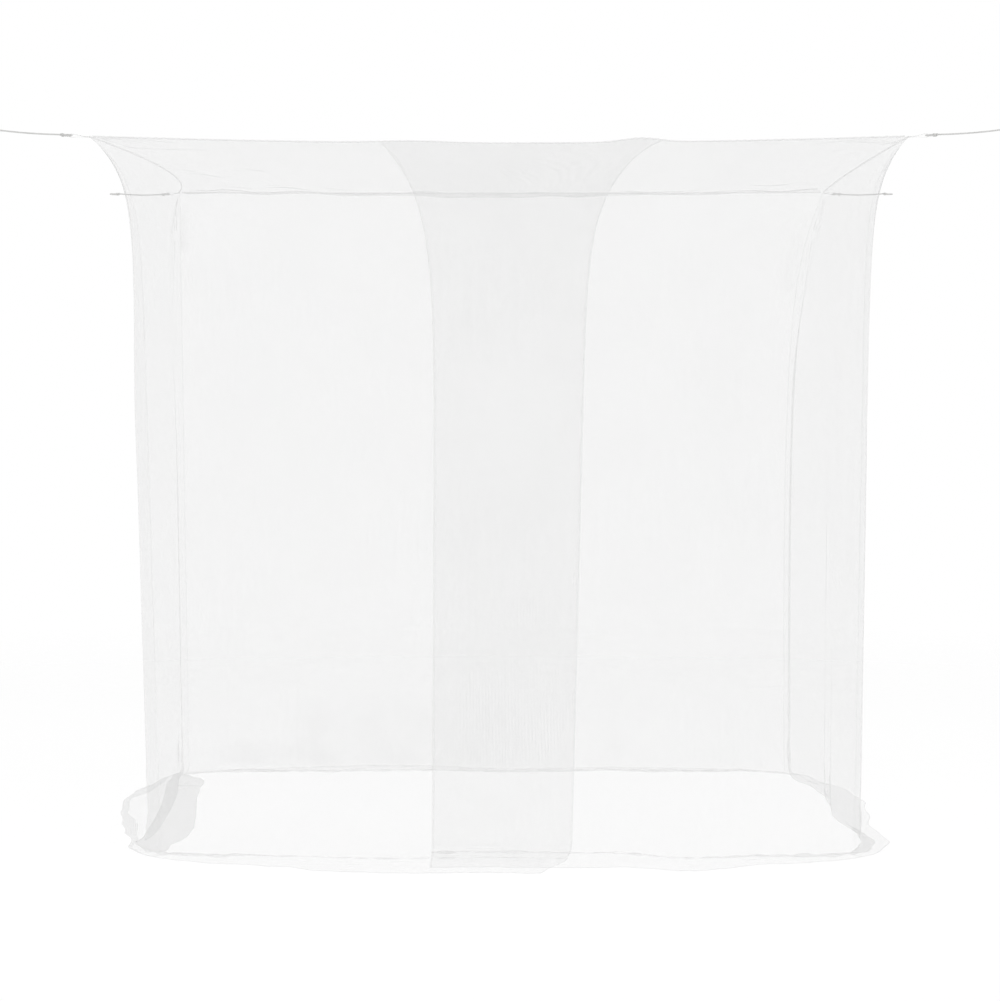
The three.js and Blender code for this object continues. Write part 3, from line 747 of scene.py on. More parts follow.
def relief(key, s, d):
    """How far a wall's cloth stands off the frame's surface, along its normal."""
    wall = WALLS[key]
    width = CUT[key]
    sizes = bpy.context.scene.bed_net_sizes
    rng = np.random.default_rng([SEED, list(WALLS).index(key)])
    a = s * width
    near = np.minimum(a, width - a)
    drop = fall_at(wall, s)[1]
    end = foot_of(key, s)
    soft = waves(rng, RIPPLES, a, d)
    patchy = RIPPLE_EVEN + (1 - RIPPLE_EVEN) * waves(rng, RIPPLE_PATCHES, a, d)
    crumpled = waves(rng, CRINKLES, a, d)
    lies = smoothstep(d, drop - FOOT_ABOVE, drop + BEND)
    foot = smoothstep(d, drop, drop + BEND)
    grown = RIPPLED[key] * smoothstep(d, *RIPPLE_GROWS) * (1 - RIPPLE_FOOT * foot)
    hung = sizes.ripple * soft * patchy * grown
    drawn = ear_creases(a, d) + ear_creases(width - a, d)
    gathers = 0
    for name, off in from_corners(wall, s, width):
        if name.startswith("back"):
            gathers = gathers + corner_gathers(off, d)
    still = 1 - HEM_STILL * smoothstep(d, end - HEM_CALM, end)
    floor = sizes.crinkle * lies * still * lerp(crumpled, np.abs(crumpled), foot)
    fade = smoothstep(d, 0, SEAM_CLEAR) * smoothstep(near, 0, CORNER_CLEAR)
    return (hung + drawn + gathers + floor) * fade


def normals_of(points, sign=1):
    """The normals of a grid of points, from its rows and columns."""
    along = np.gradient(points, axis=1)
    down = np.gradient(points, axis=0)
    normal = np.cross(along, -down) * sign
    return normal / np.maximum(np.linalg.norm(normal, axis=-1, keepdims=True), LEAST_NORMAL)


# Meshes


class Patches:
    """Grids of points gathered into one mesh, with their places on the cloth and their density."""

    def __init__(self):
        self.points, self.places, self.dense, self.faces = [], [], [], []
        self.count = 0

    def add(self, points, places, dense, flip=False):
        """Adds a grid. flip turns its faces round."""
        rows, columns = points.shape[0] - 1, points.shape[1] - 1
        here = np.arange(rows)[:, None] * (columns + 1) + np.arange(columns)[None, :] + self.count
        below = here + columns + 1
        corners = [here, here + 1, below + 1, below]
        if not flip:
            corners.reverse()
        self.faces.append(np.stack(corners, axis=-1).reshape(-1, 4))
        self.points.append(points.reshape(-1, 3))
        self.places.append(places.reshape(-1, 2))
        self.dense.append((dense + np.zeros(points.shape[:2])).ravel())
        self.count += points.shape[0] * points.shape[1]

    def piece(self, name, material):
        """The grids as one object, with the cloth's places as its UV map."""
        points = np.concatenate(self.points)
        faces = np.concatenate(self.faces)
        places = np.concatenate(self.places)
        mesh = bpy.data.meshes.new(name)
        mesh.from_pydata(points.tolist(), [], faces.tolist())
        layer = mesh.uv_layers.new(name="cloth")
        layer.data.foreach_set("uv", places[faces.ravel()].astype(np.float32).ravel())
        dense = mesh.attributes.new("dense", "FLOAT", "POINT")
        dense.data.foreach_set("value", np.concatenate(self.dense).astype(np.float32))
        return new_piece(name, mesh, material)


def new_piece(name, mesh, material):
    """An object at the origin for a mesh, smooth shaded and finished."""
    mesh.name = name
    mesh.polygons.foreach_set("use_smooth", np.ones(len(mesh.polygons), bool))
    mesh.materials.clear()
    mesh.materials.append(material)
    mesh.validate()
    mesh.update()
    piece = bpy.data.objects.new(name, mesh)
    bpy.context.scene.collection.objects.link(piece)
    return piece


def put_on(piece, slot, *nodes):
    """Rides a piece on the net, and hides the frame's nodes that it stands for."""
    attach(piece, BODY)
    if nodes:
        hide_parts(*nodes)
    return piece


def node_name(kind, corner):
    """A corner's node in the frame."""
    end, side = corner.split("_")
    return f"{kind}_{end}{side.capitalize()}"


def graded(length, fine, coarse, growth):
    """Places from 0 to 1 that lie close together at both ends of a length."""
    places = [0.0]
    while places[-1] < length / 2:
        places.append(places[-1] + min(coarse, fine + growth * places[-1]))
    half = np.array(places) / places[-1] / 2
    return np.concatenate([half, 1 - half[-2::-1]])


# Node trees


def new_tree(name, kind, inputs, outputs):
    """A node tree with named sockets, and its two ends."""
    tree = bpy.data.node_groups.new(name, kind)
    for label, socket_type, default in inputs:
        socket = tree.interface.new_socket(label, in_out="INPUT", socket_type=socket_type)
        if default is not None:
            socket.default_value = default
    for label, socket_type in outputs:
        tree.interface.new_socket(label, in_out="OUTPUT", socket_type=socket_type)
    return tree, tree.nodes.new("NodeGroupInput"), tree.nodes.new("NodeGroupOutput")


def add_node(tree, kind, inputs=None, **settings):
    """A node whose inputs are values, or the sockets that feed them, by name or number."""
    node = tree.nodes.new(kind)
    for key, value in settings.items():
        setattr(node, key, value)
    for key, value in (inputs or {}).items():
        if isinstance(value, bpy.types.NodeSocket):
            tree.links.new(value, node.inputs[key])
        else:
            node.inputs[key].default_value = value
    return node


def sum_of(tree, operation, a, b=0.0):
    """A Math node's result."""
    return add_node(tree, "ShaderNodeMath", {0: a, 1: b}, operation=operation).outputs[0]


def vector_of(tree, operation, a, b=None, scale=None):
    """A Vector Math node's result."""
    inputs = {0: a}
    if b is not None:
        inputs[1] = b
    if scale is not None:
        inputs["Scale"] = scale
    return add_node(tree, "ShaderNodeVectorMath", inputs, operation=operation).outputs[0]


def grow(name, lines, tree, material, **values):
    """The plain piece that a Geometry Nodes tree grows along lines of points."""
    points = np.concatenate([np.asarray(line) for line in lines])
    edges, start = [], 0
    for line in lines:
        edges += [(start + i, start + i + 1) for i in range(len(line) - 1)]
        start += len(line)
    path = bpy.data.meshes.new(name + "_path")
    path.from_pydata(points.tolist(), edges, [])
    source = bpy.data.objects.new(name + "_path", path)
    bpy.context.scene.collection.objects.link(source)
    modifier = source.modifiers.new(tree.name, "NODES")
    modifier.node_group = tree
    values["Material"] = material
    for item in tree.interface.items_tree:
        if item.item_type == "SOCKET" and item.in_out == "INPUT" and item.name in values:
            modifier[item.identifier] = values[item.name]
    depsgraph = bpy.context.evaluated_depsgraph_get()
    mesh = bpy.data.meshes.new_from_object(source.evaluated_get(depsgraph))
    source.modifiers.remove(modifier)
    bpy.data.objects.remove(source)
    bpy.data.meshes.remove(path)
    if not mesh.polygons:
        raise RuntimeError(f"{tree.name} made nothing for {name}")
    return new_piece(name, mesh, material)


def geometry_tree(name, inputs):
    """A Geometry Nodes tree that starts from lines, and evenly spread points on the curve along them.

    How far apart the points are is its first input.
    """
    rows = [("Geometry", "NodeSocketGeometry", None), *inputs, ("Material", "NodeSocketMaterial", None)]
    tree, enter, leave = new_tree(name, "GeometryNodeTree", rows, [("Geometry", "NodeSocketGeometry")])
    curve = add_node(tree, "GeometryNodeMeshToCurve", {0: enter.outputs["Geometry"]}).outputs[0]
    spacing = {"Curve": curve, "Length": enter.outputs[inputs[0][0]]}
    even = add_node(tree, "GeometryNodeResampleCurve", spacing, mode="LENGTH")
    return tree, enter, leave, even.outputs[0]


def swept_along(tree, line, profile):
    """A mesh of a profile swept along a line, closed at its ends."""
    inputs = {"Curve": line, "Profile Curve": profile, "Fill Caps": True}
    return add_node(tree, "GeometryNodeCurveToMesh", inputs).outputs[0]


def end_tree(tree, enter, leave, geometry):
    """Ends a Geometry Nodes tree in a plain, finished mesh."""
    real = add_node(tree, "GeometryNodeRealizeInstances", {0: geometry})
    inputs = {"Geometry": real.outputs[0], "Material": enter.outputs["Material"]}
    finished = add_node(tree, "GeometryNodeSetMaterial", inputs)
    tree.links.new(finished.outputs[0], leave.inputs[0])
    return tree


def laid_cord_tree():
    """Strands laid round each other along a line."""
    tree, enter, leave, line = geometry_tree("Laid cord", [
        ("Step", "NodeSocketFloat", 0.0015),
        ("Strands", "NodeSocketInt", 3),
        ("Strand radius", "NodeSocketFloat", 0.0012),
        ("Strand offset", "NodeSocketFloat", 0.0013),
        ("Lay", "NodeSocketFloat", 0.018),
        ("Sides", "NodeSocketInt", 8),
    ])
    given = enter.outputs
    copying = {"Geometry": line, "Amount": given["Strands"]}
    copies = add_node(tree, "GeometryNodeDuplicateElements", copying, domain="SPLINE")
    along = add_node(tree, "GeometryNodeSplineParameter").outputs["Length"]
    turns = sum_of(tree, "DIVIDE", along, given["Lay"])
    share = sum_of(tree, "DIVIDE", copies.outputs["Duplicate Index"], given["Strands"])
    angle = sum_of(tree, "MULTIPLY", sum_of(tree, "ADD", turns, share), 2 * math.pi)
    normal = add_node(tree, "GeometryNodeInputNormal").outputs[0]
    tangent = add_node(tree, "GeometryNodeInputTangent").outputs[0]
    side = vector_of(tree, "CROSS_PRODUCT", tangent, normal)
    first = vector_of(tree, "SCALE", normal, scale=sum_of(tree, "COSINE", angle))
    second = vector_of(tree, "SCALE", side, scale=sum_of(tree, "SINE", angle))
    offset = vector_of(tree, "SCALE", vector_of(tree, "ADD", first, second), scale=given["Strand offset"])
    moved = add_node(tree, "GeometryNodeSetPosition", {"Geometry": copies.outputs[0], "Offset": offset})
    section = {"Resolution": given["Sides"], "Radius": given["Strand radius"]}
    strand = add_node(tree, "GeometryNodeCurvePrimitiveCircle", section, mode="RADIUS")
    return end_tree(tree, enter, leave, swept_along(tree, moved.outputs[0], strand.outputs[0]))


def stitch_tree():
    """Short stitches along a line."""
    tree, enter, leave, line = geometry_tree("Stitch run", [
        ("Pitch", "NodeSocketFloat", 0.005),
        ("Length", "NodeSocketFloat", 0.0035),
        ("Thickness", "NodeSocketFloat", 0.0005),
        ("Seed", "NodeSocketInt", SEED),
    ])
    given = enter.outputs
    bead = add_node(tree, "GeometryNodeMeshUVSphere", {"Segments": 6, "Rings": 4, "Radius": 0.5})
    sides = {"X": given["Thickness"], "Y": given["Thickness"], "Z": given["Length"]}
    size = add_node(tree, "ShaderNodeCombineXYZ", sides)
    shaping = {"Geometry": bead.outputs["Mesh"], "Scale": size.outputs[0]}
    shaped = add_node(tree, "GeometryNodeTransform", shaping)
    tangent = add_node(tree, "GeometryNodeInputTangent").outputs[0]
    turned = add_node(tree, "FunctionNodeAlignRotationToVector", {"Vector": tangent}, axis="Z")
    spread = {"Min": (0.8, 0.8, 0.85), "Max": (1.1, 1.1, 1.05), "Seed": given["Seed"]}
    uneven = add_node(tree, "FunctionNodeRandomValue", spread, data_type="FLOAT_VECTOR")
    placed = add_node(tree, "GeometryNodeInstanceOnPoints", {
        "Points": line,
        "Instance": shaped.outputs[0],
        "Rotation": turned.outputs[0],
        "Scale": uneven.outputs[0],
    })
    return end_tree(tree, enter, leave, placed.outputs[0])


def binding_tree():
    """A folded edge binding, slightly puckered, along a line."""
    tree, enter, leave, line = geometry_tree("Edge binding", [
        ("Step", "NodeSocketFloat", 0.006),
        ("Thickness", "NodeSocketFloat", 0.0032),
        ("Height", "NodeSocketFloat", 0.005),
        ("Round", "NodeSocketFloat", 0.0013),
        ("Pucker", "NodeSocketFloat", 0.0006),
        ("Pucker pitch", "NodeSocketFloat", 0.022),
    ])
    given = enter.outputs
    upright = add_node(tree, "GeometryNodeSetCurveNormal", {"Curve": line}, mode="Z_UP")
    along = add_node(tree, "GeometryNodeSplineParameter").outputs["Length"]
    turns = sum_of(tree, "DIVIDE", along, given["Pucker pitch"])
    puckers = sum_of(tree, "SINE", sum_of(tree, "MULTIPLY", turns, 2 * math.pi))
    drift = sum_of(tree, "SINE", sum_of(tree, "MULTIPLY", along, TAPE_DRIFT))
    lift = sum_of(tree, "MULTIPLY", sum_of(tree, "MULTIPLY", puckers, drift), given["Pucker"])
    offset = add_node(tree, "ShaderNodeCombineXYZ", {"Z": lift}).outputs[0]
    moved = add_node(tree, "GeometryNodeSetPosition", {"Geometry": upright.outputs[0], "Offset": offset})
    sides = {"Width": given["Thickness"], "Height": given["Height"]}
    section = add_node(tree, "GeometryNodeCurvePrimitiveQuadrilateral", sides, mode="RECTANGLE")
    corners = {"Curve": section.outputs[0], "Count": 3, "Radius": given["Round"]}
    rounded = add_node(tree, "GeometryNodeFilletCurve", corners, mode="POLY")
    return end_tree(tree, enter, leave, swept_along(tree, moved.outputs[0], rounded.outputs[0]))


# Finishes


def weave_group():
    """The net's holes and yarn: three waves a sixth of a turn apart make a field of round holes."""
    tree, enter, leave = new_tree("Net weave", "ShaderNodeTree", [
        ("Place", "NodeSocketVector", None),
        ("Pitch", "NodeSocketFloat", 0.002),
        ("Level", "NodeSocketFloat", -1.0),
        ("Softness", "NodeSocketFloat", 0.25),
    ], [("Yarn", "NodeSocketFloat")])
    given = enter.outputs
    turns = sum_of(tree, "DIVIDE", 4 * math.pi / math.sqrt(3), given["Pitch"])
    field = 0.0
    for third in range(3):
        angle = math.pi * third / 3
        way = (math.cos(angle), math.sin(angle), 0)
        both = {0: given["Place"], 1: way}
        across = add_node(tree, "ShaderNodeVectorMath", both, operation="DOT_PRODUCT").outputs["Value"]
        wave = sum_of(tree, "COSINE", sum_of(tree, "MULTIPLY", across, turns))
        field = sum_of(tree, "ADD", wave, field)
    above = sum_of(tree, "SUBTRACT", given["Level"], field)
    share = sum_of(tree, "ADD", sum_of(tree, "DIVIDE", above, given["Softness"]), 0.5)
    yarn = add_node(tree, "ShaderNodeClamp", {"Value": share}).outputs[0]
    tree.links.new(yarn, leave.inputs[0])
    return tree


def mottle_group():
    """Uneven tone of yarn, from a fine and a broad noise, and the fine one as a height."""
    tree, enter, leave = new_tree("Yarn mottle", "ShaderNodeTree", [
        ("Place", "NodeSocketVector", None),
        ("Colour", "NodeSocketColor", (0.8, 0.8, 0.8, 1)),
        ("Depth", "NodeSocketFloat", 0.1),
        ("Fine", "NodeSocketFloat", 900.0),
        ("Broad", "NodeSocketFloat", 6.0),
    ], [("Colour", "NodeSocketColor"), ("Height", "NodeSocketFloat"), ("Cloud", "NodeSocketFloat")])
    given = enter.outputs
    place = given["Place"]
    fine = add_node(tree, "ShaderNodeTexNoise", {"Vector": place, "Scale": given["Fine"], "Detail": 0.0})
    broad = add_node(tree, "ShaderNodeTexNoise", {"Vector": place, "Scale": given["Broad"], "Detail": 1.0})
    both = sum_of(tree, "ADD", fine.outputs[0], broad.outputs[0])
    darker = sum_of(tree, "MULTIPLY", both, given["Depth"])
    tone = sum_of(tree, "SUBTRACT", 1.0, darker)
    coloured = vector_of(tree, "SCALE", given["Colour"], scale=tone)
    tree.links.new(coloured, leave.inputs["Colour"])
    tree.links.new(fine.outputs[0], leave.inputs["Height"])
    tree.links.new(broad.outputs[0], leave.inputs["Cloud"])
    return tree


def new_material(name, colour, roughness):
    """A material with its shader, whose plain values stand on the shader's own sockets."""
    material = bpy.data.materials.new(name)
    material.use_nodes = True
    material.diffuse_color = (*colour, 1)
    shader = material.node_tree.nodes["Principled BSDF"]
    shader.inputs["Roughness"].default_value = roughness
    shader.inputs["Specular IOR Level"].default_value = 0.3
    return material, material.node_tree, shader


def use_group(tree, name, **inputs):
    """Places a shared node group, and gives its outputs."""
    return add_node(tree, "ShaderNodeGroup", inputs, node_tree=tree_of(name)).outputs


def use_mottle(tree, shader, place, colour, **values):
    """Feeds a shader's colour from the yarn mottle, and gives the group's outputs."""
    mottled = use_group(tree, "Yarn mottle", Place=place, Colour=(*colour, 1), **values)
    tree.links.new(mottled["Colour"], shader.inputs["Base Color"])
    return mottled


def net_material():
    """Sheer knitted net: yarn round small holes, closer at hems and seams."""
    finish = bpy.context.scene.bed_net_finish
    material, tree, shader = new_material("Sheer net", finish.net, 0.8)
    place = add_node(tree, "ShaderNodeUVMap", uv_map="cloth").outputs[0]
    mottled = use_mottle(tree, shader, place, finish.net, Depth=0.05, Fine=700.0, Broad=5.0)
    pitch = bpy.context.scene.bed_net_sizes.mesh_pitch
    yarn = use_group(tree, "Net weave", Place=place, Pitch=pitch)["Yarn"]
    dense = add_node(tree, "ShaderNodeAttribute", attribute_name="dense").outputs["Fac"]
    covered = sum_of(tree, "MULTIPLY", yarn, finish.cover * YARN_OVER)
    cover = sum_of(tree, "ADD", covered, finish.cover * HOLE_OVER)
    cloud = sum_of(tree, "MULTIPLY", mottled["Cloud"], CLOUDED)
    clouded = sum_of(tree, "MULTIPLY", cover, sum_of(tree, "ADD", cloud, 1 - CLOUDED / 2))
    closed = sum_of(tree, "ADD", clouded, dense)
    alpha = add_node(tree, "ShaderNodeClamp", {"Value": closed}).outputs[0]
    tree.links.new(alpha, shader.inputs["Alpha"])
    bump = add_node(tree, "ShaderNodeBump", {"Strength": 0.3, "Distance": 0.0002, "Height": yarn})
    tree.links.new(bump.outputs[0], shader.inputs["Normal"])
    shader.inputs["Sheen Weight"].default_value = 0.1
    return material


def woven_material(name, colour, ribs, distorted, deep):
    """Woven tape or laid yarn: ribs and fibres on the piece's own place."""
    material, tree, shader = new_material(name, colour, 0.75)
    place = add_node(tree, "ShaderNodeTexCoord").outputs["Object"]
    mottled = use_mottle(tree, shader, place, colour, Depth=0.12, Fine=1500.0, Broad=40.0)
    pattern = {"Vector": place, "Scale": ribs, "Distortion": 1.5, "Detail": 2.0, "Detail Scale": distorted}
    ribbed = add_node(tree, "ShaderNodeTexWave", pattern, bands_direction="DIAGONAL")
    height = sum_of(tree, "ADD", ribbed.outputs["Fac"], mottled["Height"])
    bump = add_node(tree, "ShaderNodeBump", {"Strength": 0.5, "Distance": deep, "Height": height})
    tree.links.new(bump.outputs[0], shader.inputs["Normal"])
    worn = sum_of(tree, "ADD", sum_of(tree, "MULTIPLY", mottled["Height"], FIBRE_ROUGH), LEAST_ROUGH)
    tree.links.new(worn, shader.inputs["Roughness"])
    shader.inputs["Sheen Weight"].default_value = 0.15
    return material


def tape_material():
    """A sheer woven ribbon: the woven finish, let through between its yarns."""
    colour = bpy.context.scene.bed_net_finish.tape
    material = woven_material("Woven tape", colour, ribs=420.0, distorted=3.0, deep=0.0002)
    tree = material.node_tree
    place = add_node(tree, "ShaderNodeTexCoord").outputs["Object"]
    yarn = use_group(tree, "Net weave", Place=place, Pitch=TAPE_PITCH)["Yarn"]
    alpha = sum_of(tree, "ADD", sum_of(tree, "MULTIPLY", yarn, TAPE_YARN), TAPE_THIN)
    tree.links.new(alpha, tree.nodes["Principled BSDF"].inputs["Alpha"])
    return material


def cord_material():
    """Laid cotton yarn."""
    colour = bpy.context.scene.bed_net_finish.cord
    return woven_material("Laid cord", colour, ribs=600.0, distorted=4.0, deep=0.00015)


def thread_material():
    """White sewing thread."""
    return woven_material("Sewing thread", THREAD_COLOUR, ribs=2400.0, distorted=3.0, deep=0.00005)


def floor_material():
    """A pale studio floor that fades into the room."""
    material, tree, shader = new_material("Studio floor", FLOOR_COLOUR, 0.9)
    place = add_node(tree, "ShaderNodeTexCoord").outputs["Object"]
    use_mottle(tree, shader, place, FLOOR_COLOUR, Depth=0.01, Fine=60.0, Broad=0.6)
    far = add_node(tree, "ShaderNodeVectorMath", {0: place}, operation="LENGTH").outputs["Value"]
    fade = add_node(tree, "ShaderNodeMapRange", {
        "Value": far, "From Min": FLOOR_SOLID, "From Max": FLOOR_RADIUS, "To Min": 1.0, "To Max": 0.0,
    })
    tree.links.new(fade.outputs[0], shader.inputs["Alpha"])
    shader.inputs["Emission Color"].default_value = (1, 1, 1, 1)
    shader.inputs["Emission Strength"].default_value = FLOOR_GLOW
    return material


FINISHES = {
    "Sheer net": net_material,
    "Woven tape": tape_material,
    "Laid cord": cord_material,
    "Sewing thread": thread_material,
    "Studio floor": floor_material,
}


def finish_of(name):
    """A finish by name, made once."""
    return bpy.data.materials.get(name) or FINISHES[name]()


TREES = {
    "Net weave": weave_group,
    "Yarn mottle": mottle_group,
    "Laid cord": laid_cord_tree,
    "Stitch run": stitch_tree,
    "Edge binding": binding_tree,
}


def tree_of(name):
    """A shared node group by name, made once."""
    return bpy.data.node_groups.get(name) or TREES[name]()


# Cloth


def wall_rows():
    """A wall's rows: shares of what hangs, of the bend and of what lies on the floor."""
    hang = np.concatenate([
        np.linspace(0, FLARE_DROP, FLARE_ROWS, endpoint=False),
        np.linspace(FLARE_DROP, TIE_HEIGHT - BEND - FOOT_FINE, HANG_ROWS, endpoint=False),
        np.linspace(TIE_HEIGHT - BEND - FOOT_FINE, TIE_HEIGHT - BEND, FOOT_ROWS, endpoint=False),
    ]) / (TIE_HEIGHT - BEND)
    bend = np.linspace(0, 1, BEND_ROWS, endpoint=False)
    floor = np.linspace(0, 1, FLOOR_ROWS)
    parts = [
        np.stack([hang, 0 * hang, 0 * hang]),
        np.stack([1 + 0 * bend, bend, 0 * bend]),
        np.stack([1 + 0 * floor, 1 + 0 * floor, floor]),
    ]
    return np.concatenate(parts, axis=1)[:, :, None]


def row_lengths(wall, s, rows):
    """Cloth lengths down a wall for its rows, at places along it."""
    _, drop, lies = fall_at(wall, s)
    return rows[0] * drop + rows[1] * BEND_LENGTH + rows[2] * lies


def wall_surface(key, s, d, door=None):
    """A wall's finished surface, with its relief, and its normals."""
    base = wall_points(WALLS[key], s, d, door)
    normal = normals_of(base)
    points = base + normal * relief(key, s, d)[..., None]
    points[..., 2] = np.maximum(points[..., 2], SHEET / 2)
    return points, normals_of(points)


def foot_of(key, s):
    """How far down a wall its hem's edge is."""
    _, drop, lies = fall_at(WALLS[key], s)
    return drop + BEND_LENGTH + lies


def places_of(key, s, d):
    """Places on a wall's flat cloth."""
    return np.stack([s * CUT[key], cloth_length(WALLS[key], s, d)], axis=-1)


def gathered(key, s, d):
    """How much closer the yarn lies where a wall's cloth is bunched."""
    drop = fall_at(WALLS[key], s)[1]
    rng = np.random.default_rng([SEED, BUNCH_SEED])
    patchy = 1 + BUNCH_UNEVEN * waves(rng, BUNCH_PATCHES, s * CUT[key], d)
    total = 0
    for at, half, high, low, dense in BUNCHED.get(key, []):
        up = drop - d
        fading = smoothstep(up, lerp(low, high, BUNCH_FADE), high)
        within = smoothstep(up, low - BUNCH_SOFT, low) * (1 - fading)
        total = total + dense * within * np.exp(-(((s - at) * CUT[key] / half) ** 2))
    return total * patchy + SIDE_DENSE[key]


def is_free(door, end):
    """Whether a panel's side, 0 or 1, is a free edge of the doorway."""
    return bool(door) and (end == 1) == (door["side"] < 0)


def panel_width(key, door):
    """How wide a wall, or a front panel of it, is cut."""
    if not door:
        return CUT[key]
    edge = float(door_edge(door, np.array(TIE_HEIGHT / 2)))
    return CUT[key] * (edge if door["side"] < 0 else 1 - edge)


def panel_columns(key, door):
    """A panel's columns, as shares of its width: fine at its corner and at its free edge."""
    return graded(panel_width(key, door), COLUMN_FINE, COLUMN, COLUMN_GROWTH)[None, :]


def panel_place(door, share, d):
    """Places along a wall for shares of a panel's width, at d down it."""
    if not door:
        return share + 0 * d
    edge = door_edge(door, d)
    return share * edge if door["side"] < 0 else 1 - (1 - share) * (1 - edge)


def panel_grid(wall, door, share, rows):
    """Places along a wall and down it, for shares of a panel's width and its rows."""
    s = panel_place(door, share, 0 * share * rows[0])
    s = panel_place(door, share, row_lengths(wall, s, rows))
    return s, row_lengths(wall, s, rows)


def fold_back(patches, key, door, s, d, off, side, weave_off, dense):
    """Adds a folded-back strip of a panel, which leaves the cloth's edge where off is 0."""
    points, normals = wall_surface(key, s, d, door)
    stands_open = HEM_OPEN * (1 - np.exp(-off / HEM_OPEN))
    points = points + normals * (side * stands_open)[..., None]
    patches.add(points, places_of(key, s, d) + np.array(weave_off), dense, flip=True)


def panel_cloth(key, name, door=None):
    """A wall panel's mesh, with its hem, its side seams and, on a front panel, its free edge."""
    wall = WALLS[key]
    hem = bpy.context.scene.bed_net_sizes.hem
    columns = panel_columns(key, door)
    rows = wall_rows()
    patches = Patches()
    s, d = panel_grid(wall, door, columns, rows)
    points, _ = wall_surface(key, s, d, door)
    patches.add(points, places_of(key, s, d), gathered(key, s, d))
    s, _ = panel_grid(wall, door, columns, rows[:, -1:])
    off = hem * np.linspace(1, 0, HEM_ROWS)[:, None] + 0 * s
    d = foot_of(key, s) - off
    s = panel_place(door, columns, d)
    fold_back(patches, key, door, s, d, off, 1, HEM_OFF, HEM_DENSE)
    for end in (0, 1):
        free = is_free(door, end)
        wide = hem if free else SEAM_WIDE
        span = wide / panel_width(key, door)
        share = np.linspace(0, span, HEM_ROWS)
        share = share if end == 0 else 1 - share[::-1]
        s, d = panel_grid(wall, door, share[None, :], rows)
        off = np.abs(share[None, :] - end) * wide / span + 0 * d
        side = door["side"] if free else -1
        fold_back(patches, key, door, s, d, off, side, EDGE_OFF, EDGE_DENSE)
    return patches.piece(name, finish_of("Sheer net"))


def roof_relief(u, v):
    """How far the roof's cloth stands off the frame's surface."""
    wide, deep = CUT_WIDE * u, CUT_DEEP * v
    rng = np.random.default_rng([SEED, ROOF_SEED])
    ripple = bpy.context.scene.bed_net_sizes.ripple
    soft = waves(rng, ROOF_WAVES, wide, deep)
    drawn = 0
    for across in (wide, CUT_WIDE - wide):
        for back in (deep, CUT_DEEP - deep):
            drawn = drawn + ear_creases(across, back)
    near = np.minimum(np.minimum(wide, CUT_WIDE - wide), np.minimum(deep, CUT_DEEP - deep))
    return (ROOF_SOFT * ripple * soft + drawn) * smoothstep(near, 0, CORNER_CLEAR)


def hang_panel(key, name, node, door=None):
    """Makes a wall panel, in place of its node."""
    panel = put_on(panel_cloth(key, name, door), "net", node)


# Operators


class BEDNET_OT_stage(bpy.types.Operator):
    """Make the camera, the floor, the room's light and the lamps"""

    bl_idname = "bed_net.stage"
    bl_label = "Studio"

    def execute(self, context):
        stage = context.scene.bed_net_stage
        camera = bpy.data.objects.new("Camera", bpy.data.cameras.new("Camera"))
        camera.location = stage.eye
        camera.rotation_euler = (math.pi / 2 - stage.pitch, 0, stage.yaw)
        camera.data.lens = stage.lens
        camera.data.clip_end = SIGHT
        context.scene.collection.objects.link(camera)
        context.scene.camera = camera
        self.floor()
        self.room(context.scene, stage.light)
        for name, place, size, power in LAMPS:
            lamp = bpy.data.lights.new(name, "AREA")
            lamp.shape = "DISK"
            lamp.size = size
            lamp.energy = power
            lit = bpy.data.objects.new(name, lamp)
            lit.location = place
            lit.rotation_euler = (LAMP_AIM - Vector(place)).to_track_quat("-Z", "Y").to_euler()
            lit.visible_camera = False
            context.scene.collection.objects.link(lit)
        context.scene.view_settings.view_transform = "Standard"
        context.scene.view_settings.look = "None"
        context.scene.cycles.transparent_max_bounces = CLEAR_BOUNCES
        return {"FINISHED"}

    def floor(self):
        rings = np.linspace(0, FLOOR_RADIUS, FLOOR_RINGS)[1:]
        turns = np.arange(FLOOR_SPOKES) * 2 * math.pi / FLOOR_SPOKES
        points = [(0, 0, 0)] + [(r * math.cos(t), r * math.sin(t), 0) for r in rings for t in turns]
        faces = []
        for k in range(FLOOR_SPOKES):
            after = (k + 1) % FLOOR_SPOKES
            faces.append((0, 1 + k, 1 + after))
            for ring in range(len(rings) - 1):
                inner, outer = 1 + ring * FLOOR_SPOKES, 1 + (ring + 1) * FLOOR_SPOKES
                faces.append((inner + k, outer + k, outer + after, inner + after))
        mesh = bpy.data.meshes.new("floor")
        mesh.from_pydata(points, [], faces)
        new_piece("floor", mesh, finish_of("Studio floor"))

    def room(self, scene, strength):
        world = bpy.data.worlds.new("Room")
        world.use_nodes = True
        scene.world = world
        tree = world.node_tree
        tree.nodes.clear()
        seen = add_node(tree, "ShaderNodeLightPath").outputs["Is Camera Ray"]
        level = add_node(tree, "ShaderNodeMapRange", {"Value": seen, "To Min": strength, "To Max": 1.0})
        even = {"Color": (1, 1, 1, 1), "Strength": level.outputs[0]}
        light = add_node(tree, "ShaderNodeBackground", even)
        leave = add_node(tree, "ShaderNodeOutputWorld")
        tree.links.new(light.outputs[0], leave.inputs["Surface"])


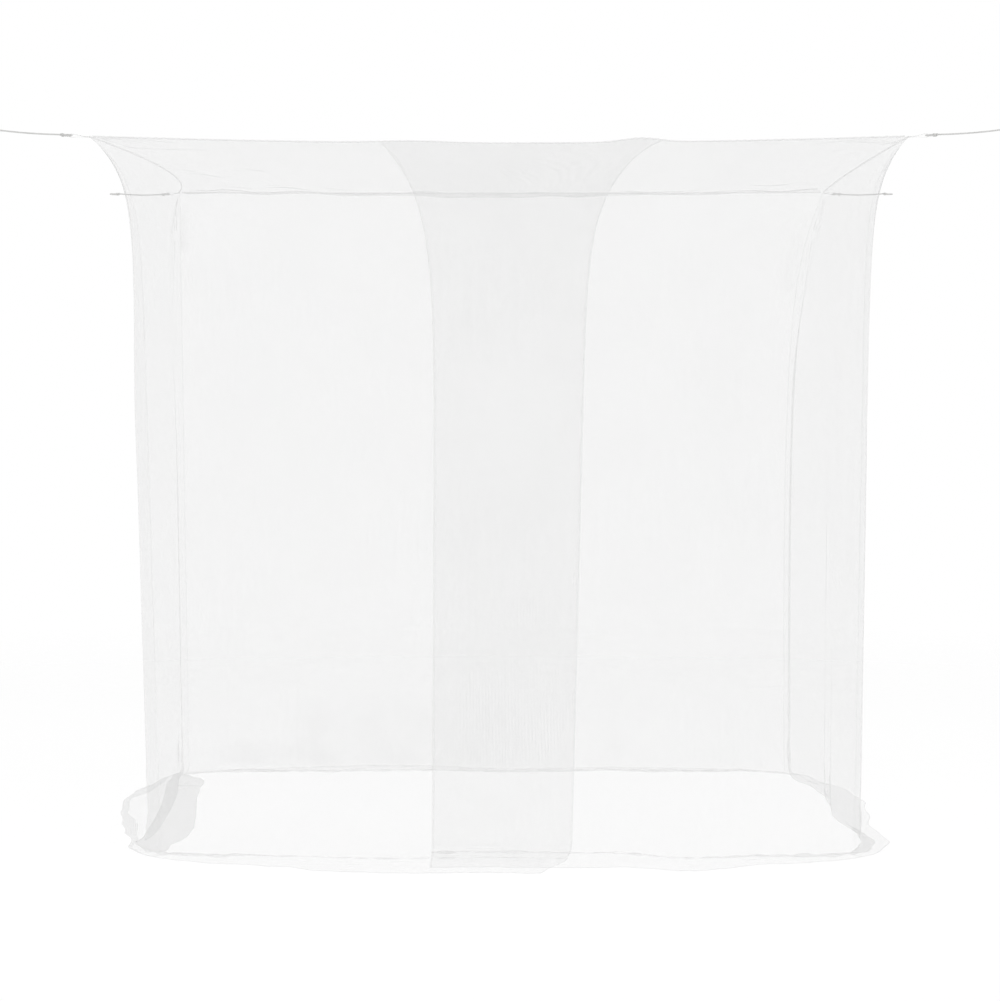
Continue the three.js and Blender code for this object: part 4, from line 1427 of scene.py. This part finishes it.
class BEDNET_OT_ties(bpy.types.Operator):
    """Make the cord ties: a knotted ring, a taut laid cord and a knotted hanging loop at each corner"""

    bl_idname = "bed_net.ties"
    bl_label = "Cord ties"

    def execute(self, context):
        for name, corner in CORNERS.items():
            self.tie(name, corner, context.scene.bed_net_sizes.lay)
        return {"FINISHED"}

    def tie(self, name, corner, lay):
        rise = corner["rise"]
        path = [
            (lerp(CORD_START, CORD_END, along), 0, rise * along - TAB_DROP - sag)
            for along, sag in ROUTE
        ]
        laid = tree_of("Laid cord")
        look = {"Strand radius": STRAND, "Strand offset": CORD / 2 - STRAND, "Lay": lay}
        line = at_corner(name, smooth_line(path, CORD_POINTS))
        cord = grow(f"tie_cord_{name}", [line], laid, finish_of("Laid cord"), **look)
        for kind, node, knot, loop, radius, high in (
            ("ring", "knot", KNOT_OUT, RING_OUT, RING_RADIUS, -TAB_DROP),
            ("loop", "end", END_KNOT_OUT, LOOP_OUT, LOOP_RADIUS, rise - TAB_DROP),
        ):
            lines = [at_corner(name, line) for line in knotted_loop(knot, loop, radius, high)]
            part = grow(f"tie_{kind}_{name}", lines, laid, finish_of("Laid cord"), **look)
            put_on(part, "cord", node_name(node, name))
        put_on(cord, "cord", node_name("cord", name))


def at_corner(name, points):
    """Points out from a corner's ear, sideways and up, as points in the frame."""
    corner = CORNERS[name]
    turn = math.radians(corner["turn"])
    local = np.asarray(points, float)
    x = corner["ear"][0] + local[:, 0] * math.cos(turn) - local[:, 1] * math.sin(turn)
    y = corner["ear"][1] + local[:, 0] * math.sin(turn) + local[:, 1] * math.cos(turn)
    return np.stack([x, y, TIE_HEIGHT + local[:, 2]], axis=-1)


def smooth_line(points, count):
    """A smooth line of evenly spread points through a few."""
    rows = np.asarray(points, float)
    ends = np.concatenate([[2 * rows[0] - rows[1]], rows, [2 * rows[-1] - rows[-2]]])
    line = []
    for place in np.linspace(0, len(rows) - 1, count):
        i = min(int(place), len(rows) - 2)
        t = place - i
        a, b, c, d = ends[i:i + 4]
        squared = (2 * a - 5 * b + 4 * c - d) * t ** 2
        cubed = (3 * b - a - 3 * c + d) * t ** 3
        line.append((2 * b + (c - a) * t + squared + cubed) / 2)
    return np.array(line)


def knotted_loop(knot_out, loop_out, radius, high):
    """A loop of cord and the overhand knot that closes it, as two lines."""
    turn = np.linspace(0, 2 * math.pi, LOOP_POINTS)
    way = 1 if knot_out > loop_out else -1
    tilt = LOOP_TILT * np.sin(turn)
    loop = np.stack([loop_out + way * radius * np.cos(turn), radius * np.sin(turn), high + tilt], axis=-1)
    t = np.linspace(0, 2 * math.pi, KNOT_POINTS)
    knot = np.stack([
        -np.sin(3 * t),
        (np.sin(t) + 2 * np.sin(2 * t)) / 3,
        (np.cos(t) - 2 * np.cos(2 * t)) / 3,
    ], axis=-1) * (np.array(KNOT_HALF) - CORD / 2)
    return [loop, knot + np.array([knot_out, 0, high])]


class BEDNET_OT_roof(bpy.types.Operator):
    """Make the roof panel"""

    bl_idname = "bed_net.roof"
    bl_label = "Roof panel"

    def execute(self, context):
        u = graded(CUT_WIDE, ROOF_FINE, ROOF_COLUMN, COLUMN_GROWTH)[None, :]
        v = graded(CUT_DEEP, ROOF_FINE, ROOF_COLUMN, COLUMN_GROWTH)[:, None]
        u, v = u + 0 * v, v + 0 * u
        points = roof_points(u, v)
        points = points + normals_of(points, -1) * roof_relief(u, v)[..., None]
        patches = Patches()
        patches.add(points, np.stack([u * CUT_WIDE, v * CUT_DEEP], axis=-1), ROOF_DENSE, flip=True)
        roof = put_on(patches.piece("net_roof", finish_of("Sheer net")), "net", "roof_panel")
        return {"FINISHED"}


class BEDNET_OT_walls(bpy.types.Operator):
    """Make the back and side walls"""

    bl_idname = "bed_net.walls"
    bl_label = "Back and side walls"

    def execute(self, context):
        for key in ("back", "left", "right"):
            hang_panel(key, f"net_wall_{key}", f"wall_{key}")
        return {"FINISHED"}


class BEDNET_OT_front(bpy.types.Operator):
    """Make the two front panels, which overlap as a doorway"""

    bl_idname = "bed_net.front"
    bl_label = "Front panels"

    def execute(self, context):
        for side, door in DOORS.items():
            hang_panel("front", f"net_front_{side}", f"front_panel_{side}", door)
        return {"FINISHED"}


class BEDNET_OT_tapes(bpy.types.Operator):
    """Make the binding tape over each roof seam"""

    bl_idname = "bed_net.tapes"
    bl_label = "Edge tapes"

    def execute(self, context):
        binding = tree_of("Edge binding")
        section = {"Thickness": TAPE_WIDE, "Height": TAPE_OVER + TAPE_UNDER}
        for key, wall in WALLS.items():
            line = tape_line(wall, TAPE_END, (TAPE_OVER - TAPE_UNDER) / 2)
            tape = grow(f"edge_tape_{key}", [line], binding, finish_of("Woven tape"), **section)
            put_on(tape, "tape", f"tape_{key}")
        return {"FINISHED"}


def tape_line(wall, short, rise):
    """A line along a roof seam that stops short of its ears."""
    end = short / seam_length(wall)
    return seam_points(wall, np.linspace(end, 1 - end, TAPE_POINTS), rise)


class BEDNET_OT_tabs(bpy.types.Operator):
    """Make the corner tabs, a loop of doubled tape sewn into each ear"""

    bl_idname = "bed_net.tabs"
    bl_label = "Corner tabs"

    def execute(self, context):
        for name in CORNERS:
            put_on(self.tab(name), "tape", node_name("tab", name))
        return {"FINISHED"}

    def tab(self, name):
        """A ribbon swept round the eye and back to the tab's root."""
        ply = TAB_PLY / 2
        turn = np.linspace(-math.pi / 2, math.pi / 2, TAB_TURN)
        middle = EYE_RADIUS + ply
        eye = np.stack([EYE_OUT + middle * np.cos(turn), middle * np.sin(turn)], axis=-1)
        under = [(TAB_ROOT, -ply), (TAB_SEWN, -ply), (TAB_SEWN + TAB_OPENS, -TAB_PLY * TAB_NIP)]
        line = np.array([*under, *eye, *[(x, -z) for x, z in reversed(under)]])
        line = np.stack([line[:, 0], 0 * line[:, 0], line[:, 1]], axis=-1)
        way = np.gradient(line, axis=0)
        way /= np.linalg.norm(way, axis=1, keepdims=True)
        up = np.stack([-way[:, 2], 0 * way[:, 0], way[:, 0]], axis=-1)
        half, thick, edge = TAB_WIDE / 2, TAB_THICK / 2, TAB_EDGE
        section = [
            (-half, 0), (-half + edge, -thick), (half - edge, -thick),
            (half, 0), (half - edge, thick), (-half + edge, thick),
        ]
        count = len(section)
        points = []
        for at, over in zip(line, up):
            points += [at + np.array([0, across, 0]) + over * out for across, out in section]
        placed = at_corner(name, np.array(points) + np.array([0, 0, -TAB_DROP]))
        faces = [tuple(range(count))[::-1], tuple(range(len(placed) - count, len(placed)))]
        for ring in range(len(line) - 1):
            for k in range(count):
                a, b = ring * count + k, ring * count + (k + 1) % count
                faces.append((a, b, b + count, a + count))
        mesh = bpy.data.meshes.new("tab")
        mesh.from_pydata(placed.tolist(), [], faces)
        return new_piece(f"corner_tab_{name}", mesh, finish_of("Woven tape"))


class BEDNET_OT_stitches(bpy.types.Operator):
    """Sew the hems, the free edges, the corner seams, the tapes and the tabs"""

    bl_idname = "bed_net.stitches"
    bl_label = "Stitching"

    def execute(self, context):
        sizes = context.scene.bed_net_sizes
        thread = {"Pitch": sizes.stitch, "Length": STITCH_SHARE * sizes.stitch, "Thickness": THREAD}
        for key in WALLS:
            doors = DOORS.items() if key == "front" else [(key, None)]
            for side, door in doors:
                name = f"stitching_front_{side}" if door else f"stitching_{key}"
                self.sew(name, self.panel_lines(key, door, sizes.hem), "net", thread)
        lines = []
        for wall in WALLS.values():
            line = tape_line(wall, TAPE_SEWN_END, TAPE_SEWN)
            for side in (-1, 1):
                lines.append(line + np.array([*wall["out"], 0]) * side * (TAPE_WIDE / 2))
        self.sew("stitching_tapes", lines, "tape", thread)
        lines = [line for name in CORNERS for line in self.tab_lines(name)]
        fine = {"Pitch": TAB_STITCH, "Length": TAB_STITCH_SHARE * TAB_STITCH, "Thickness": THREAD}
        self.sew("stitching_tabs", lines, "tape", fine)
        return {"FINISHED"}

    def sew(self, name, lines, slot, thread):
        """Stitches along lines, as one piece of the net."""
        put_on(grow(name, lines, tree_of("Stitch run"), finish_of("Sewing thread"), **thread), slot)

    def panel_lines(self, key, door, hem):
        """The sewn lines of a wall panel: along its hem, the seam that it starts at and its free edge."""
        wall = WALLS[key]
        columns = panel_columns(key, door)
        width = panel_width(key, door)
        beside = SEWN_PROBE * np.arange(-1, 2)
        s = panel_place(door, columns, TIE_HEIGHT + 0 * columns)
        d = foot_of(key, s) - HEM_SEWN * hem + beside[:, None]
        points, normals = wall_surface(key, s + 0 * d, d, door)
        lines = [(points + normals * (THREAD_OFF + THREAD / 2))[1]]
        for end in (0, 1):
            free = is_free(door, end)
            if end == 1 and not free:
                continue
            off = HEM_SEWN * (hem if free else SEAM_WIDE) / width
            share = abs(end - off) + beside[None, :] / width
            s, d = panel_grid(wall, door, share, wall_rows())
            points, normals = wall_surface(key, s, d, door)
            side = 1 if free else -1
            lines.append((points + side * normals * THREAD_OFF)[:, 1])
        return lines

    def tab_lines(self, name):
        """A box and its cross, sewn through both plies at the tab's root."""
        low, high = TAB_INSET, TAB_SEWN - TAB_INSET
        half = TAB_WIDE / 2 - TAB_SIDE_INSET
        box = [(low, -half), (high, -half), (high, half), (low, half), (low, -half), (high, half)]
        cross = [(low, half), (high, -half)]
        lines = []
        for ply in (TAB_PLY, -TAB_PLY):
            for corners in (box, cross):
                for start, end in zip(corners, corners[1:]):
                    across = np.linspace(start, end, TAB_LINE_POINTS)
                    height = np.full((TAB_LINE_POINTS, 1), ply - TAB_DROP)
                    lines.append(at_corner(name, np.concatenate([across, height], axis=1)))
        return lines


OPERATORS = (
    BEDNET_OT_stage,
    BEDNET_OT_ties,
    BEDNET_OT_roof,
    BEDNET_OT_walls,
    BEDNET_OT_front,
    BEDNET_OT_tapes,
    BEDNET_OT_tabs,
    BEDNET_OT_stitches,
)


class BEDNET_PT_panel(bpy.types.Panel):
    """The net's pieces, sizes and finishes"""

    bl_idname = "BEDNET_PT_panel"
    bl_label = "Hanging Bed Net"
    bl_space_type = "VIEW_3D"
    bl_region_type = "UI"
    bl_category = "Bed Net"

    def draw(self, context):
        scene = context.scene
        for title, group in (
            ("Sizes", scene.bed_net_sizes),
            ("Finish", scene.bed_net_finish),
            ("Stage", scene.bed_net_stage),
        ):
            box = self.layout.box()
            box.label(text=title)
            for key in group.bl_rna.properties.keys():
                if key not in ("rna_type", "name"):
                    box.prop(group, key)
        for kind in OPERATORS:
            self.layout.operator(kind.bl_idname, text=kind.bl_label)


GROUPS = {"bed_net_sizes": BedNetSizes, "bed_net_finish": BedNetFinish, "bed_net_stage": BedNetStage}


def register():
    for kind in (*GROUPS.values(), *OPERATORS, BEDNET_PT_panel):
        bpy.utils.register_class(kind)
    for name, kind in GROUPS.items():
        setattr(bpy.types.Scene, name, bpy.props.PointerProperty(type=kind))


def unregister():
    for name in GROUPS:
        delattr(bpy.types.Scene, name)
    for kind in reversed((*GROUPS.values(), *OPERATORS, BEDNET_PT_panel)):
        bpy.utils.unregister_class(kind)


def main():
    register()
    for kind in OPERATORS:
        group, _, call = kind.bl_idname.partition(".")
        getattr(getattr(bpy.ops, group), call)()


if __name__ == "__main__":
    main()
